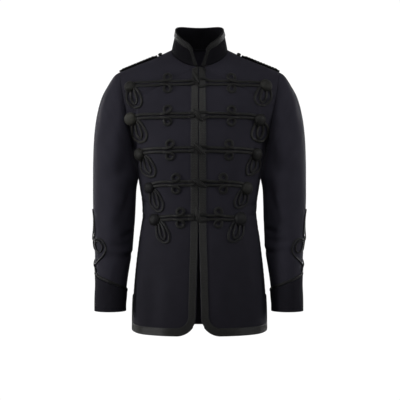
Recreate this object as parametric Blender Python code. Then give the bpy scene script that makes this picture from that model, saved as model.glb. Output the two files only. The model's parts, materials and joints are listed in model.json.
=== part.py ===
"""Officer's patrol jacket with frogging, worn shape, held up at the neck.

Metres, +Z up. The front faces -Y, and +X is the wearer's left. The origin is at
the side-neck seam's height on the middle line of the neck.
"""
import math

import bmesh
import bpy
import numpy as np

# Cloth, trims and gaps
CLOTH = 0.0018
COLLAR_CLOTH = 0.0022
BRAID_THICK = 0.0016
SEAM = 0.0003
LAY = 0.0006
# Extra height of small cords over a curved panel
LOOSE = 0.0002

# Lengths of the cut
HEM_FRONT = -0.740
HEM_BACK = -0.734
UNDERARM = -0.262
SLIT = 0.090
BRAID = 0.019
CORNER_FRONT = 0.050
CORNER_SLIT = 0.025
CENTRE_SHIFT = -0.0025
SQUARENESS = 0.82

# Neck and collar
NECK_HALF_WIDTH = 0.0745
NECK_HALF_DEPTH = 0.066
NECK_MIDDLE = 0.002
NECK_TILT = 0.0295
NECK_SADDLE = 0.0175
COLLAR_HEIGHT = 0.053
COLLAR_TOP_WIDTH = 0.0625
COLLAR_TOP_DEPTH = 0.056
COLLAR_TOP_MIDDLE = -0.012
COLLAR_SLANT = 0.45
COLLAR_CORNER = 0.024
COLLAR_BRAID = 0.014
COLLAR_BAND = 0.030
COLLAR_OPEN = 0.0035

# Cords and small pieces
CORD = 0.0062
CORD_HEIGHT = 0.0045
CORD_SPACING = 0.0092
EYE_RADIUS = 0.0087
CAP_RADIUS = 0.0152
CAP_HEIGHT = 0.0115
OLIVET_RADIUS = 0.0056
OLIVET_LENGTH = 0.042


def table(columns, *rows):
    """A short table with named columns."""
    return {name: np.array([row[i] for row in rows]) for i, name in enumerate(columns.split())}


# Half widths and edges of the body at each height
SIDE = table(
    "z x edge",
    (-0.742, 0.1770, 0.0068),
    (-0.670, 0.1758, 0.0062),
    (-0.585, 0.1697, 0.0042),
    (-0.500, 0.1600, 0.0018),
    (-0.425, 0.1508, 0.0006),
    (-0.352, 0.1592, 0.0005),
    (-0.305, 0.1680, 0.0005),
    (-0.262, 0.1742, 0.0005),
)
# Depth of the middle lines of front and back
FRONT_LINE = table(
    "z y",
    (-0.742, -0.138),
    (-0.670, -0.135),
    (-0.585, -0.127),
    (-0.500, -0.118),
    (-0.425, -0.114),
    (-0.352, -0.119),
    (-0.262, -0.129),
    (-0.200, -0.129),
    (-0.150, -0.122),
    (-0.100, -0.104),
    (-0.070, -0.085),
    (-0.047, -0.064),
)
BACK_LINE = table(
    "z y",
    (-0.742, 0.136),
    (-0.670, 0.134),
    (-0.585, 0.127),
    (-0.500, 0.112),
    (-0.425, 0.102),
    (-0.352, 0.105),
    (-0.262, 0.117),
    (-0.200, 0.122),
    (-0.150, 0.121),
    (-0.100, 0.114),
    (-0.050, 0.100),
    (-0.010, 0.080),
    (0.012, 0.068),
)
# How straight each row above the underarm runs, and how far it swells
ROWS = table(
    "rise straight swell_front swell_back",
    (0.00, 0.00, 0.000, 0.000),
    (0.25, 0.40, 0.010, 0.006),
    (0.50, 0.75, 0.028, 0.022),
    (0.75, 0.95, 0.013, 0.008),
    (1.00, 1.00, 0.000, 0.000),
)
# Outer and inner line of the sleeve, with its middle and half depth
SLEEVE = table(
    "out_x out_z in_x in_z mid_y half_y",
    (0.2120, -0.056, 0.1745, -0.262, 0.002, 0.071),
    (0.2260, -0.067, 0.1738, -0.281, 0.001, 0.077),
    (0.2440, -0.095, 0.1722, -0.304, 0.000, 0.079),
    (0.2595, -0.126, 0.1695, -0.328, -0.001, 0.079),
    (0.2715, -0.172, 0.1672, -0.352, -0.001, 0.077),
    (0.2785, -0.225, 0.1675, -0.378, 0.000, 0.075),
    (0.2815, -0.290, 0.1690, -0.412, 0.002, 0.072),
    (0.2820, -0.360, 0.1710, -0.448, 0.003, 0.069),
    (0.2820, -0.430, 0.1740, -0.486, 0.000, 0.066),
    (0.2828, -0.490, 0.1775, -0.526, -0.006, 0.063),
    (0.2815, -0.545, 0.1835, -0.562, -0.013, 0.060),
    (0.2785, -0.600, 0.1900, -0.606, -0.020, 0.057),
    (0.2785, -0.645, 0.1940, -0.648, -0.026, 0.054),
    (0.2790, -0.684, 0.1955, -0.684, -0.031, 0.052),
)
# Long soft folds of the sleeve: row and turn of the middle, half length and width, depth
FOLDS = table(
    "row turn long wide deep",
    (3.6, 2.05, 1.9, 0.42, 0.0050),
    (3.4, -2.15, 1.8, 0.40, 0.0045),
    (7.6, 2.30, 1.1, 0.45, 0.0040),
    (9.2, -1.70, 1.2, 0.40, 0.0030),
)
# The cuff's height below the armpit and at its point, and the knot above the point
CUFF_INNER = 0.048
CUFF_OUTER = 0.090
CUFF_CORD_GAP = 0.0016
KNOT_TURN = math.radians(15)
KNOT_CORD = 0.0055
WRIST_RADIUS = 0.056

# Rows of frogging: height at the middle, eye, and cap on each side
FROGS = table(
    "z eye_x cap_left cap_right cap_z lean drop",
    (-0.0925, 0.0825, 0.1785, 0.1800, -0.0965, 0.016, 0.060),
    (-0.1770, 0.0815, 0.1650, 0.1760, -0.1865, 0.026, 0.063),
    (-0.2650, 0.0750, 0.1540, 0.1600, -0.2745, 0.030, 0.063),
    (-0.3510, 0.0605, 0.1275, 0.1310, -0.3640, 0.022, 0.058),
    (-0.4390, 0.0485, 0.1090, 0.1150, -0.4440, 0.024, 0.066),
)
# Spindle buttons: place in the front view and tilt from upright
OLIVETS = table(
    "x z tilt",
    (-0.0080, -0.0830, 22),
    (-0.0040, -0.1780, 36),
    (0.0010, -0.2640, 40),
    (0.0000, -0.3500, 58),
    (-0.0050, -0.4320, 12),
)

# Outline of the sleeve knot's right half: across and up from the cuff's point
KNOT = table(
    "across up",
    (0.0000, 0.007),
    (0.0080, 0.018),
    (0.0130, 0.030),
    (0.0260, 0.026),
    (0.0400, 0.034),
    (0.0430, 0.048),
    (0.0350, 0.060),
    (0.0200, 0.064),
    (0.0110, 0.071),
    (0.0160, 0.088),
    (0.0165, 0.106),
    (0.0105, 0.122),
    (0.0000, 0.130),
)


def smooth(at, knots, values):
    """A curve through a table, with the mean slope of the neighbours at each row."""
    at = np.clip(at, knots[0], knots[-1])
    slopes = np.gradient(values, knots)
    row = np.clip(np.searchsorted(knots, at, side="right") - 1, 0, len(knots) - 2)
    step = knots[row + 1] - knots[row]
    part = (at - knots[row]) / step
    start = (1 + 2 * part) * (1 - part) ** 2 * values[row] + part * (1 - part) ** 2 * step * slopes[row]
    end = part**2 * (3 - 2 * part) * values[row + 1] + part**2 * (part - 1) * step * slopes[row + 1]
    return start + end


def points(x, y, z):
    """Stack three arrays as points."""
    return np.stack(np.broadcast_arrays(x, y, z), axis=-1)


def neck(turn):
    """The neck seam: an oval tilted forward, turn 0 at the front and pi at the nape."""
    return points(
        NECK_HALF_WIDTH * np.sin(turn),
        NECK_MIDDLE - NECK_HALF_DEPTH * np.cos(turn),
        -NECK_SADDLE - NECK_TILT * np.cos(turn) + NECK_SADDLE * np.sin(turn) ** 2,
    )


def sleeve_ring(row, turn):
    """A ring of the sleeve: turn 0 on its outer line, a quarter turn on to the front."""
    knots = np.arange(len(SLEEVE["out_x"]), dtype=float)
    value = {name: smooth(row, knots, column) for name, column in SLEEVE.items()}
    fold = 0.0
    for middle, bend, long, wide, deep in zip(*FOLDS.values()):
        fold = fold + deep * np.exp(-(((row - middle) / long) ** 4) - ((turn - bend) / wide) ** 2)
    waist = 1 - fold / value["half_y"]
    return points(
        (value["out_x"] + value["in_x"]) / 2 + (value["out_x"] - value["in_x"]) / 2 * np.cos(turn) * waist,
        value["mid_y"] - value["half_y"] * np.sin(turn) * waist,
        (value["out_z"] + value["in_z"]) / 2 + (value["out_z"] - value["in_z"]) / 2 * np.cos(turn) * waist,
    )


def panel_rows(side, face, levels, part):
    """Rows of a front (face -1) or a half back (face 1), from the middle line to the side.

    Levels 0 to 1 rise from the hem to the underarm as level sections. From 1 to 2 the row's
    inner end goes up to the neck and round it, and its outer end goes up the armhole.
    """
    hem, line = (HEM_FRONT, FRONT_LINE) if face < 0 else (HEM_BACK, BACK_LINE)
    low = np.clip(levels, 0, 1)[:, None]
    rise = np.clip(levels - 1, 0, 1)[:, None]
    level_z = hem + (UNDERARM - hem) * low
    top = neck(np.array(0.0 if face < 0 else math.pi))[2]
    middle_z = level_z + (top - UNDERARM) * np.clip(rise * 2, 0, 1)
    quarter = math.pi / 2 * np.clip(rise * 2 - 1, 0, 1)
    ring = neck(quarter if face < 0 else math.pi - quarter)
    on_neck = rise > 0.5
    edge = smooth(middle_z, SIDE["z"], SIDE["edge"]) + side * CENTRE_SHIFT if face < 0 else 0 * middle_z
    start_x = np.where(on_neck, np.maximum(ring[..., 0], edge), edge)
    start_y = np.where(on_neck, ring[..., 1], smooth(middle_z, line["z"], line["y"]))
    start_z = np.where(on_neck, ring[..., 2], middle_z)
    hole = sleeve_ring(np.zeros_like(rise), -face * math.pi * (1 - rise))
    under = rise <= 0
    end_x = np.where(under, smooth(level_z, SIDE["z"], SIDE["x"]), hole[..., 0] - SEAM)
    end_y = np.where(under, 0.002, hole[..., 1]) + face * SEAM / 2
    end_z = np.where(under, level_z, hole[..., 2])
    straight = smooth(rise, ROWS["rise"], ROWS["straight"])
    swell = smooth(rise, ROWS["rise"], ROWS["swell_front" if face < 0 else "swell_back"])
    turn = part[None, :] * math.pi / 2
    out = (1 - straight) * np.sin(turn) ** SQUARENESS + straight * part
    back = (1 - straight) * (1 - np.cos(turn) ** SQUARENESS) + straight * part
    return points(
        side * (start_x + (end_x - start_x) * out),
        start_y + (end_y - start_y) * back + face * swell * np.sin(math.pi * part),
        start_z + (end_z - start_z) * part,
    )


def even(rows, count):
    """The same rows with their points an even distance apart, and each row's length."""
    steps = np.linalg.norm(np.diff(rows, axis=1), axis=2)
    run = np.concatenate([np.zeros((len(rows), 1)), np.cumsum(steps, axis=1)], axis=1)
    result = np.empty((len(rows), count, 3))
    for i, row in enumerate(rows):
        marks = np.linspace(0, run[i, -1], count)
        for axis in range(3):
            result[i, :, axis] = np.interp(marks, run[i], row[:, axis])
    return result, run[:, -1]


class Surface:
    """A fine grid of a surface, read at any level and at any share of a row."""

    def __init__(self, grid, levels, shares, outward):
        self.grid = grid
        self.levels = levels
        self.shares = shares
        across = np.cross(np.gradient(grid, axis=0), np.gradient(grid, axis=1))
        normals = across / np.maximum(np.linalg.norm(across, axis=2, keepdims=True), 1e-12)
        facing = np.sum(normals * (grid - outward), axis=2).mean()
        self.normals = normals * math.copysign(1, facing)

    def read(self, field, level, share):
        """A value of the grid between its points."""
        level = np.clip(level, self.levels[0], self.levels[-1])
        share = np.clip(share, self.shares[0], self.shares[-1])
        row = np.interp(level, self.levels, np.arange(len(self.levels)))
        column = np.interp(share, self.shares, np.arange(len(self.shares)))
        i = np.clip(row.astype(int), 0, len(self.levels) - 2)
        j = np.clip(column.astype(int), 0, len(self.shares) - 2)
        a = (row - i)[..., None]
        b = (column - j)[..., None]
        near = field[i, j] * (1 - b) + field[i, j + 1] * b
        far = field[i + 1, j] * (1 - b) + field[i + 1, j + 1] * b
        return near * (1 - a) + far * a

    def point(self, level, share, lift=0.0):
        """A point of the surface, moved out by lift."""
        lift = np.asarray(lift)[..., None]
        return self.read(self.grid, level, share) + lift * self.normal(level, share)

    def normal(self, level, share):
        """The way out at a point."""
        normal = self.read(self.normals, level, share)
        return normal / np.linalg.norm(normal, axis=-1, keepdims=True)

    def seat(self, targets, weights=(1, 0, 1)):
        """Level and share of the place nearest each target, seen from the front unless y counts too."""
        weights = np.array(weights, dtype=float)
        coarse = self.grid[::4, ::4]
        gaps = (((coarse.reshape(-1, 1, 3) - targets[None]) * weights) ** 2).sum(axis=2)
        i, j = np.unravel_index(np.argmin(gaps, axis=0), coarse.shape[:2])
        level = self.levels[::4][i]
        share = self.shares[::4][j]
        step = 0.004
        for _ in range(12):
            here = self.point(level, share)
            up = (self.point(level + step, share) - self.point(level - step, share)) / (2 * step)
            out = (self.point(level, share + step) - self.point(level, share - step)) / (2 * step)
            miss = (targets - here) * weights
            aa = (up * up * weights).sum(axis=1)
            bb = (out * out * weights).sum(axis=1)
            ab = (up * out * weights).sum(axis=1)
            ra = (up * miss).sum(axis=1)
            rb = (out * miss).sum(axis=1)
            det = np.maximum(aa * bb - ab * ab, 1e-9)
            level = np.clip(level + 0.8 * (bb * ra - ab * rb) / det, self.levels[0], self.levels[-1])
            share = np.clip(share + 0.8 * (aa * rb - ab * ra) / det, self.shares[0], self.shares[-1])
        return level, share


def panel_surface(side, face):
    """One front or half back as a fine surface, with the length of its rows."""
    levels = np.concatenate([np.linspace(0, 1, 121)[:-1], np.linspace(1, 2, 81)])
    grid, lengths = even(panel_rows(side, face, levels, np.linspace(0, 1, 121)), 61)
    surface = Surface(grid, levels, np.linspace(0, 1, 61), np.array([0.0, 0.0, -0.35]))
    surface.lengths = lengths
    return surface


def joined(one, other):
    """Two mirrored surfaces as one, from share -1 to 1."""
    whole = Surface.__new__(Surface)
    whole.grid = np.concatenate([one.grid[:, ::-1], other.grid], axis=1)
    whole.normals = np.concatenate([one.normals[:, ::-1], other.normals], axis=1)
    whole.levels = other.levels
    whole.shares = np.concatenate([-one.shares[::-1], other.shares + 1e-6])
    return whole


def sleeve_surface(side):
    """One sleeve as a fine surface: levels are rows of its table, shares are turns."""
    levels = np.linspace(0, len(SLEEVE["out_x"]) - 1, 157)
    turns = np.linspace(-math.pi, math.pi, 121)
    grid = sleeve_ring(levels[:, None], turns[None, :])
    grid[..., 0] += SEAM
    middle = grid.mean(axis=1, keepdims=True)
    grid = grid * np.array([side, 1, 1])
    return Surface(grid, levels, turns, middle * np.array([side, 1, 1]))


def collar_surface():
    """The stand collar, level 0 at the neck seam and 1 at its top, share 0 at the nape."""
    levels = np.linspace(0, 1, 21)[:, None]
    turns = np.linspace(-math.pi, math.pi, 241)[None, :]
    base = neck(turns + math.pi)
    base = base * np.array([-1, 1, 1])
    base[..., 2] += 3 * SEAM
    top = points(
        COLLAR_TOP_WIDTH * np.sin(turns),
        COLLAR_TOP_MIDDLE + COLLAR_TOP_DEPTH * np.cos(turns),
        base[..., 2] + COLLAR_HEIGHT,
    )
    grid = base + (top - base) * levels[..., None]
    return Surface(grid, levels[:, 0], turns[0], grid.mean(axis=1, keepdims=True))


def material(name, colour, roughness):
    """A plain Principled material."""
    result = bpy.data.materials.new(name)
    result.use_nodes = True
    shader = result.node_tree.nodes["Principled BSDF"]
    shader.inputs["Base Color"].default_value = (*colour, 1)
    shader.inputs["Roughness"].default_value = roughness
    shader.inputs["Metallic"].default_value = 0.0
    return result


FINISHES = {
    "wool": ((0.017, 0.017, 0.026), 0.85),
    "velvet": ((0.008, 0.008, 0.009), 0.95),
    "braid": ((0.022, 0.022, 0.020), 0.6),
    "cord": ((0.025, 0.025, 0.022), 0.55),
}


def solid(name, vertices, faces, finish):
    """A closed mesh object with its faces turned outwards."""
    mesh = bpy.data.meshes.new(name)
    mesh.from_pydata([tuple(v) for v in vertices], [], [tuple(int(i) for i in face) for face in faces])
    work = bmesh.new()
    work.from_mesh(mesh)
    bmesh.ops.recalc_face_normals(work, faces=work.faces)
    work.to_mesh(mesh)
    work.free()
    mesh.shade_smooth()
    mesh.set_sharp_from_angle(angle=math.radians(40))
    mesh.materials.append(material(name, *FINISHES[finish]))
    item = bpy.data.objects.new(name, mesh)
    bpy.context.scene.collection.objects.link(item)
    return item


def slab(name, top, bottom, finish, keep=None, wrap=False, seam_rows=0):
    """A wall between two grids of points, closed along the edge of the squares that are kept.

    With seam rows, the grid is two halves side by side that share their middle column up to there.
    """
    rows, columns = top.shape[:2]
    index = np.arange(rows * columns).reshape(rows, columns)
    index[:seam_rows, columns // 2 - 1] = index[:seam_rows, columns // 2]
    if wrap:
        index = np.concatenate([index, index[:, :1]], axis=1)
    corners = np.stack([index[:-1, :-1], index[:-1, 1:], index[1:, 1:], index[1:, :-1]], axis=-1)
    squares = corners[keep] if keep is not None else corners.reshape(-1, 4)
    used = np.unique(squares)
    place = {int(old): new for new, old in enumerate(used)}
    squares = [tuple(place[int(i)] for i in square) for square in squares]
    count = len(used)
    vertices = np.concatenate([top.reshape(-1, 3)[used], bottom.reshape(-1, 3)[used]])
    faces = []
    edges = set()
    for a, b, c, d in squares:
        faces += [(a, b, c), (a, c, d)]
        faces += [(count + c, count + b, count + a), (count + d, count + c, count + a)]
        edges.update([(a, b), (b, c), (c, d), (d, a)])
    for a, b in sorted(edges):
        if (b, a) not in edges:
            faces += [(b, a, count + a), (b, count + a, count + b)]
    return solid(name, vertices, faces, finish)


def cord(name, path, ups, closed, width=CORD, height=CORD_HEIGHT, finish="cord"):
    """A cord lying on its path: four sides, flat below and narrower on top."""
    if closed:
        along = np.roll(path, -1, axis=0) - np.roll(path, 1, axis=0)
    else:
        along = np.gradient(path, axis=0)
    sides = np.cross(along, ups)
    sides = sides / np.linalg.norm(sides, axis=1, keepdims=True)
    ups = np.cross(sides, along)
    ups = ups / np.linalg.norm(ups, axis=1, keepdims=True)
    ring = [
        path - sides * width / 2,
        path + sides * width / 2,
        path + sides * width * 0.3 + ups * height,
        path - sides * width * 0.3 + ups * height,
    ]
    vertices = np.stack(ring, axis=1).reshape(-1, 3)
    count = len(path)
    faces = []
    for i in range(count if closed else count - 1):
        j = (i + 1) % count
        for k in range(4):
            m = (k + 1) % 4
            faces.append((4 * i + k, 4 * i + m, 4 * j + m, 4 * j + k))
    if not closed:
        last = 4 * (count - 1)
        faces += [(3, 2, 1, 0), (last, last + 1, last + 2, last + 3)]
    return solid(name, vertices, faces, finish)


def turned(name, base, axis, profile, sides, finish):
    """A solid turned round an axis: the profile gives radius and distance along it."""
    axis = np.asarray(axis, dtype=float) / np.linalg.norm(axis)
    across = np.cross(axis, [0.0, 1.0, 0.0] if abs(axis[1]) < 0.9 else [1.0, 0.0, 0.0])
    across = across / np.linalg.norm(across)
    other = np.cross(axis, across)
    turns = np.arange(sides) * 2 * math.pi / sides
    vertices = []
    for radius, run in profile:
        ring = base + axis * run + radius * (np.outer(np.cos(turns), across) + np.outer(np.sin(turns), other))
        vertices += list(ring)
    faces = []
    for row in range(len(profile) - 1):
        for k in range(sides):
            m = (k + 1) % sides
            a, b = row * sides, (row + 1) * sides
            faces.append((a + k, a + m, b + m, b + k))
    faces.append(tuple(range(sides))[::-1])
    faces.append(tuple(range((len(profile) - 1) * sides, len(profile) * sides)))
    return solid(name, vertices, faces, finish)


def rounded(along, up, radius):
    """Round a flat strip's corner at (0, 0): the line at distance d from the edge turns on radius - d."""
    inset = np.minimum(along, up)
    run = np.maximum(along, up) - inset
    reach = np.maximum(radius - inset, 1e-9)
    bend = math.pi / 4 * (1 - run / reach)
    near = radius - reach * np.cos(bend)
    far = radius - reach * np.sin(bend)
    inside = (inset < radius) & (run < reach)
    first = np.where(along <= up, near, far)
    second = np.where(along <= up, far, near)
    return np.where(inside, first, along), np.where(inside, second, up)


# Grid lines of the panels, in metres from their edges
SIDE_BAND = 0.036
CORNER_LINES = np.array([0.0, BRAID, SIDE_BAND, 0.053])
WAIST_LINES = [0.140, 0.195, 0.235, 0.270, 0.302, 0.334, 0.368, 0.415]
HEM_LINES = np.concatenate([CORNER_LINES, [SLIT], WAIST_LINES, [UNDERARM - HEM_FRONT]])
TOP_LINES = 10
NECK_LINES = 5
SLIT_ROWS = 4
# Share of a level that the front braid stops below the collar
BELOW_COLLAR = 0.008


def panel_grid(surface, face, hem):
    """A panel's level and share at each crossing of its grid lines."""
    tall = UNDERARM - hem
    ups = HEM_LINES * tall / HEM_LINES[-1]
    ups[:SLIT_ROWS + 1] = HEM_LINES[:SLIT_ROWS + 1]
    levels = np.concatenate([ups / tall, 1 + np.linspace(0, 1, TOP_LINES + 1)[1:]])
    level_grid = []
    share_grid = []
    for level in levels:
        length = np.interp(level, surface.levels, surface.lengths)
        if face < 0:
            start = CORNER_LINES
            middle = np.linspace(CORNER_LINES[-1], length - SIDE_BAND, 6)[1:]
        else:
            start = np.array([0.0])
            middle = np.linspace(0, length - SIDE_BAND, 7)[1:]
        alongs = np.concatenate([start, middle, [length - BRAID, length]])
        up = np.full_like(alongs, min(level, 1) * tall)
        from_side = length - alongs
        side_along, side_up = rounded(from_side, up, CORNER_SLIT)
        if face < 0:
            front_along, front_up = rounded(alongs, up, CORNER_FRONT)
        else:
            front_along, front_up = alongs, up
        near_side = from_side < length / 2
        new_up = np.where(near_side, side_up, front_up)
        new_level = np.where(level > 1, level, new_up / tall)
        new_length = np.interp(new_level, surface.levels, surface.lengths)
        share = np.where(near_side, 1 - side_along / new_length, front_along / new_length)
        if level > 1:
            share = alongs / length
        level_grid.append(new_level)
        share_grid.append(share)
    return np.array(level_grid), np.array(share_grid)


def panel_walls(surface, levels, shares):
    """A panel's outer and inner points, with square edges where it meets the other panel."""
    outer = surface.point(levels, shares)
    inner = surface.point(levels, shares, -CLOTH)
    inner[-1, :, 1] = outer[-1, :, 1]
    low = levels[:, -1] <= 1.0
    inner[low, -1, 1] = outer[low, -1, 1]
    return outer, inner


def edge_strip(shape, first_rows):
    """Squares of a panel's braid: the hem row, the last edge up the slit and the first edge."""
    keep = np.zeros((shape[0] - 1, shape[1] - 1), dtype=bool)
    keep[0, :] = True
    keep[:SLIT_ROWS, -1] = True
    keep[:first_rows, 0] = True
    return keep


def build_front(side, surface):
    """One front with its braid, which runs down the edge, along the hem and up the slit."""
    name = "left" if side > 0 else "right"
    levels, shares = panel_grid(surface, -1, HEM_FRONT)
    outer, inner = panel_walls(surface, levels, shares)
    slab("front_" + name, outer, inner, "wool")
    middle_rows = len(HEM_LINES) - 1 + NECK_LINES
    keep = edge_strip(levels.shape, middle_rows)
    levels[middle_rows] -= BELOW_COLLAR
    low = surface.point(levels, shares, LAY)
    high = surface.point(levels, shares, LAY + BRAID_THICK)
    slab("front_braid_" + name, high, low, "braid", keep)


def build_back(left, right):
    """The back in one piece with the braid of its hem and slits."""
    levels, shares = panel_grid(left, 1, HEM_BACK)

    def whole(half_left, half_right):
        return np.concatenate([half_right[:, ::-1], half_left], axis=1)

    def lifted(lift):
        return whole(left.point(levels, shares, lift), right.point(levels, shares, lift))

    walls = zip(panel_walls(left, levels, shares), panel_walls(right, levels, shares))
    outer, inner = [whole(half_left, half_right) for half_left, half_right in walls]
    middle = outer.shape[1] // 2 - 1
    nape_row = len(HEM_LINES) + NECK_LINES
    keep = np.ones((outer.shape[0] - 1, outer.shape[1] - 1), dtype=bool)
    keep[:, middle] = False
    slab("back", outer, inner, "wool", keep, seam_rows=nape_row)
    keep = edge_strip(outer.shape, SLIT_ROWS)
    keep[:, middle] = False
    slab("back_braid", lifted(LAY + BRAID_THICK), lifted(LAY), "braid", keep, seam_rows=nape_row)


SLEEVE_SIDES = 2 * TOP_LINES


def sleeve_turns():
    """The turns of a sleeve's grid lines, the same as the armhole's rows."""
    return np.arange(SLEEVE_SIDES) * 2 * math.pi / SLEEVE_SIDES - math.pi


def row_at_height(height):
    """The row of the sleeve's table whose middle is at a height."""
    middle = (SLEEVE["out_z"] + SLEEVE["in_z"]) / 2
    return np.interp(-height, -middle, np.arange(len(middle)))


def cuff_top(turn):
    """Height of the cuff's top edge, which comes to a point on the outside of the sleeve."""
    away = np.abs((turn - KNOT_TURN + math.pi) % (2 * math.pi) - math.pi) / math.pi
    return SLEEVE["out_z"][-1] + CUFF_OUTER + (CUFF_INNER - CUFF_OUTER) * away


def build_sleeve(side, surface):
    """A sleeve, its pointed cuff, the cord on the cuff's edge and the knot above the point."""
    name = "left" if side > 0 else "right"
    turns = sleeve_turns()
    rows = np.arange(len(SLEEVE["out_x"]), dtype=float)
    levels, shares = np.meshgrid(rows, turns, indexing="ij")
    inner = surface.point(levels, shares, -CLOTH)
    slab("sleeve_" + name, surface.point(levels, shares), inner, "wool", wrap=True)

    bottom = SLEEVE["out_z"][-1]
    part = np.array([0.0, 0.33, 0.67, 1.0])[:, None]
    heights = bottom + (cuff_top(turns)[None, :] - bottom) * part
    levels = row_at_height(heights)
    shares = np.broadcast_to(turns, levels.shape)
    high = surface.point(levels, shares, LAY + COLLAR_CLOTH)
    slab("cuff_" + name, high, surface.point(levels, shares, LAY), "velvet", wrap=True)

    turns = np.linspace(-math.pi, math.pi, 25)[:-1]
    levels = row_at_height(cuff_top(turns) + CORD / 2 + CUFF_CORD_GAP)
    path = surface.point(levels, turns, LAY + LOOSE)
    cord("cuff_cord_" + name, path, surface.normal(levels, turns), closed=True)

    across = np.concatenate([KNOT["across"], -KNOT["across"][-2:0:-1]])
    up = np.concatenate([KNOT["up"], KNOT["up"][-2:0:-1]])
    across, up = rounder(np.stack([across, up], axis=1), 2).T
    apex = cuff_top(np.array(KNOT_TURN)) + CORD
    levels = row_at_height(apex + up)
    around = KNOT_TURN + across / WRIST_RADIUS
    path = surface.point(levels, around, LAY + LOOSE)
    cord("sleeve_knot_" + name, path, surface.normal(levels, around), closed=True, width=KNOT_CORD)


def rounder(outline, times):
    """A closed outline with new points between its own, on a smooth curve through them."""
    before = np.roll(outline, 1, axis=0)
    after = np.roll(outline, -1, axis=0)
    beyond = np.roll(outline, -2, axis=0)
    result = []
    for t in np.arange(times) / times:
        straight = 2 * outline + (after - before) * t
        square = (2 * before - 5 * outline + 4 * after - beyond) * t**2
        cube = (3 * outline - before - 3 * after + beyond) * t**3
        result.append((straight + square + cube) / 2)
    return np.stack(result, axis=1).reshape(-1, 2)


def build_collar(surface):
    """The stand collar, open in a V at the front, and the braid round its edge."""
    turns = np.linspace(-math.pi, math.pi, 241)
    base = surface.point(np.zeros_like(turns), turns)
    run = np.concatenate([[0], np.cumsum(np.linalg.norm(np.diff(base, axis=0), axis=1))])
    half = run[-1] / 2
    neck_rows = np.interp(np.linspace(math.pi, 0, 2 * NECK_LINES + 1)[1:], turns, run)
    alongs = np.concatenate([[0.0, COLLAR_BRAID], 2 * half - neck_rows])
    downs = np.array([0.0, COLLAR_BRAID, COLLAR_BAND, COLLAR_HEIGHT])
    down, along = np.meshgrid(downs, alongs, indexing="ij")
    new_along, new_down = rounded(along, down, COLLAR_CORNER)
    height = COLLAR_HEIGHT - new_down
    fade = np.clip(1 - new_along / half, 0, 1) ** 2
    new_along = np.maximum(new_along, COLLAR_OPEN) + COLLAR_SLANT * height * fade
    share = np.interp(half - new_along, run - half, turns)
    level = height / COLLAR_HEIGHT
    level = np.concatenate([level, level[:, -2::-1]], axis=1)
    share = np.concatenate([share, -share[:, -2::-1]], axis=1)
    slab("collar", surface.point(level, share), surface.point(level, share, -COLLAR_CLOTH), "velvet")
    keep = np.zeros((level.shape[0] - 1, level.shape[1] - 1), dtype=bool)
    keep[0, :] = True
    keep[:, 0] = True
    keep[:, -1] = True
    high = surface.point(level, share, LAY + BRAID_THICK)
    slab("collar_braid", high, surface.point(level, share, LAY), "braid", keep)


# A curl of the cord: towards the middle, away from the row, and how far it is lifted
CURL = table(
    "in_ out lift",
    (-2.0, 0.00, 0.0),
    (-1.25, 0.00, 1.0),
    (-0.3, 0.12, 1.0),
    (0.5, 0.45, 1.0),
    (1.0, 1.15, 0.0),
    (0.7, 1.85, 0.0),
    (0.0, 2.15, 0.0),
    (-0.7, 1.85, 0.0),
    (-1.0, 1.15, 0.0),
    (-0.75, 0.50, 0.0),
    (-0.1, 0.03, 0.0),
    (0.8, -0.02, 0.0),
    (1.9, 0.00, 0.0),
)
# Shares of the straight run beside the cap, closer together where the front turns away
STRAIGHT_STEPS = np.array([0.0, 0.15, 0.35, 0.65, 1.0])
CAP_GAP = 0.0008
CROSSING = CORD_HEIGHT + 0.0006
ROW_DROOP = 0.003
# Where each side's row ends past the middle, and its rise on to the front braid
ROW_END_LEFT = -0.0035
ROW_END_RIGHT = 0.0195
RAMP_LOW = 0.007
RAMP_HIGH = 0.0015

# The drop's outer loop, its inner loop and the turn between them: share of the way down, half width
DROP_OUTER = table(
    "fall wide",
    (0.30, 0.0185),
    (0.46, 0.0210),
    (0.64, 0.0225),
    (0.82, 0.0200),
    (0.94, 0.0125),
    (1.00, 0.0000),
)
DROP_INNER = table(
    "fall wide",
    (0.28, 0.0085),
    (0.50, 0.0112),
    (0.74, 0.0125),
    (0.90, 0.0105),
    (0.98, 0.0055),
    (1.00, 0.0000),
)
DROP_INNER_DEPTH = 0.86
DROP_CORD = 0.0056
SIDE_KEEP = 0.0055


def frog_name(kind, side, i):
    """The node name of a piece of frogging."""
    return f"{kind}_{'left' if side > 0 else 'right'}_{i + 1}"


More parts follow.
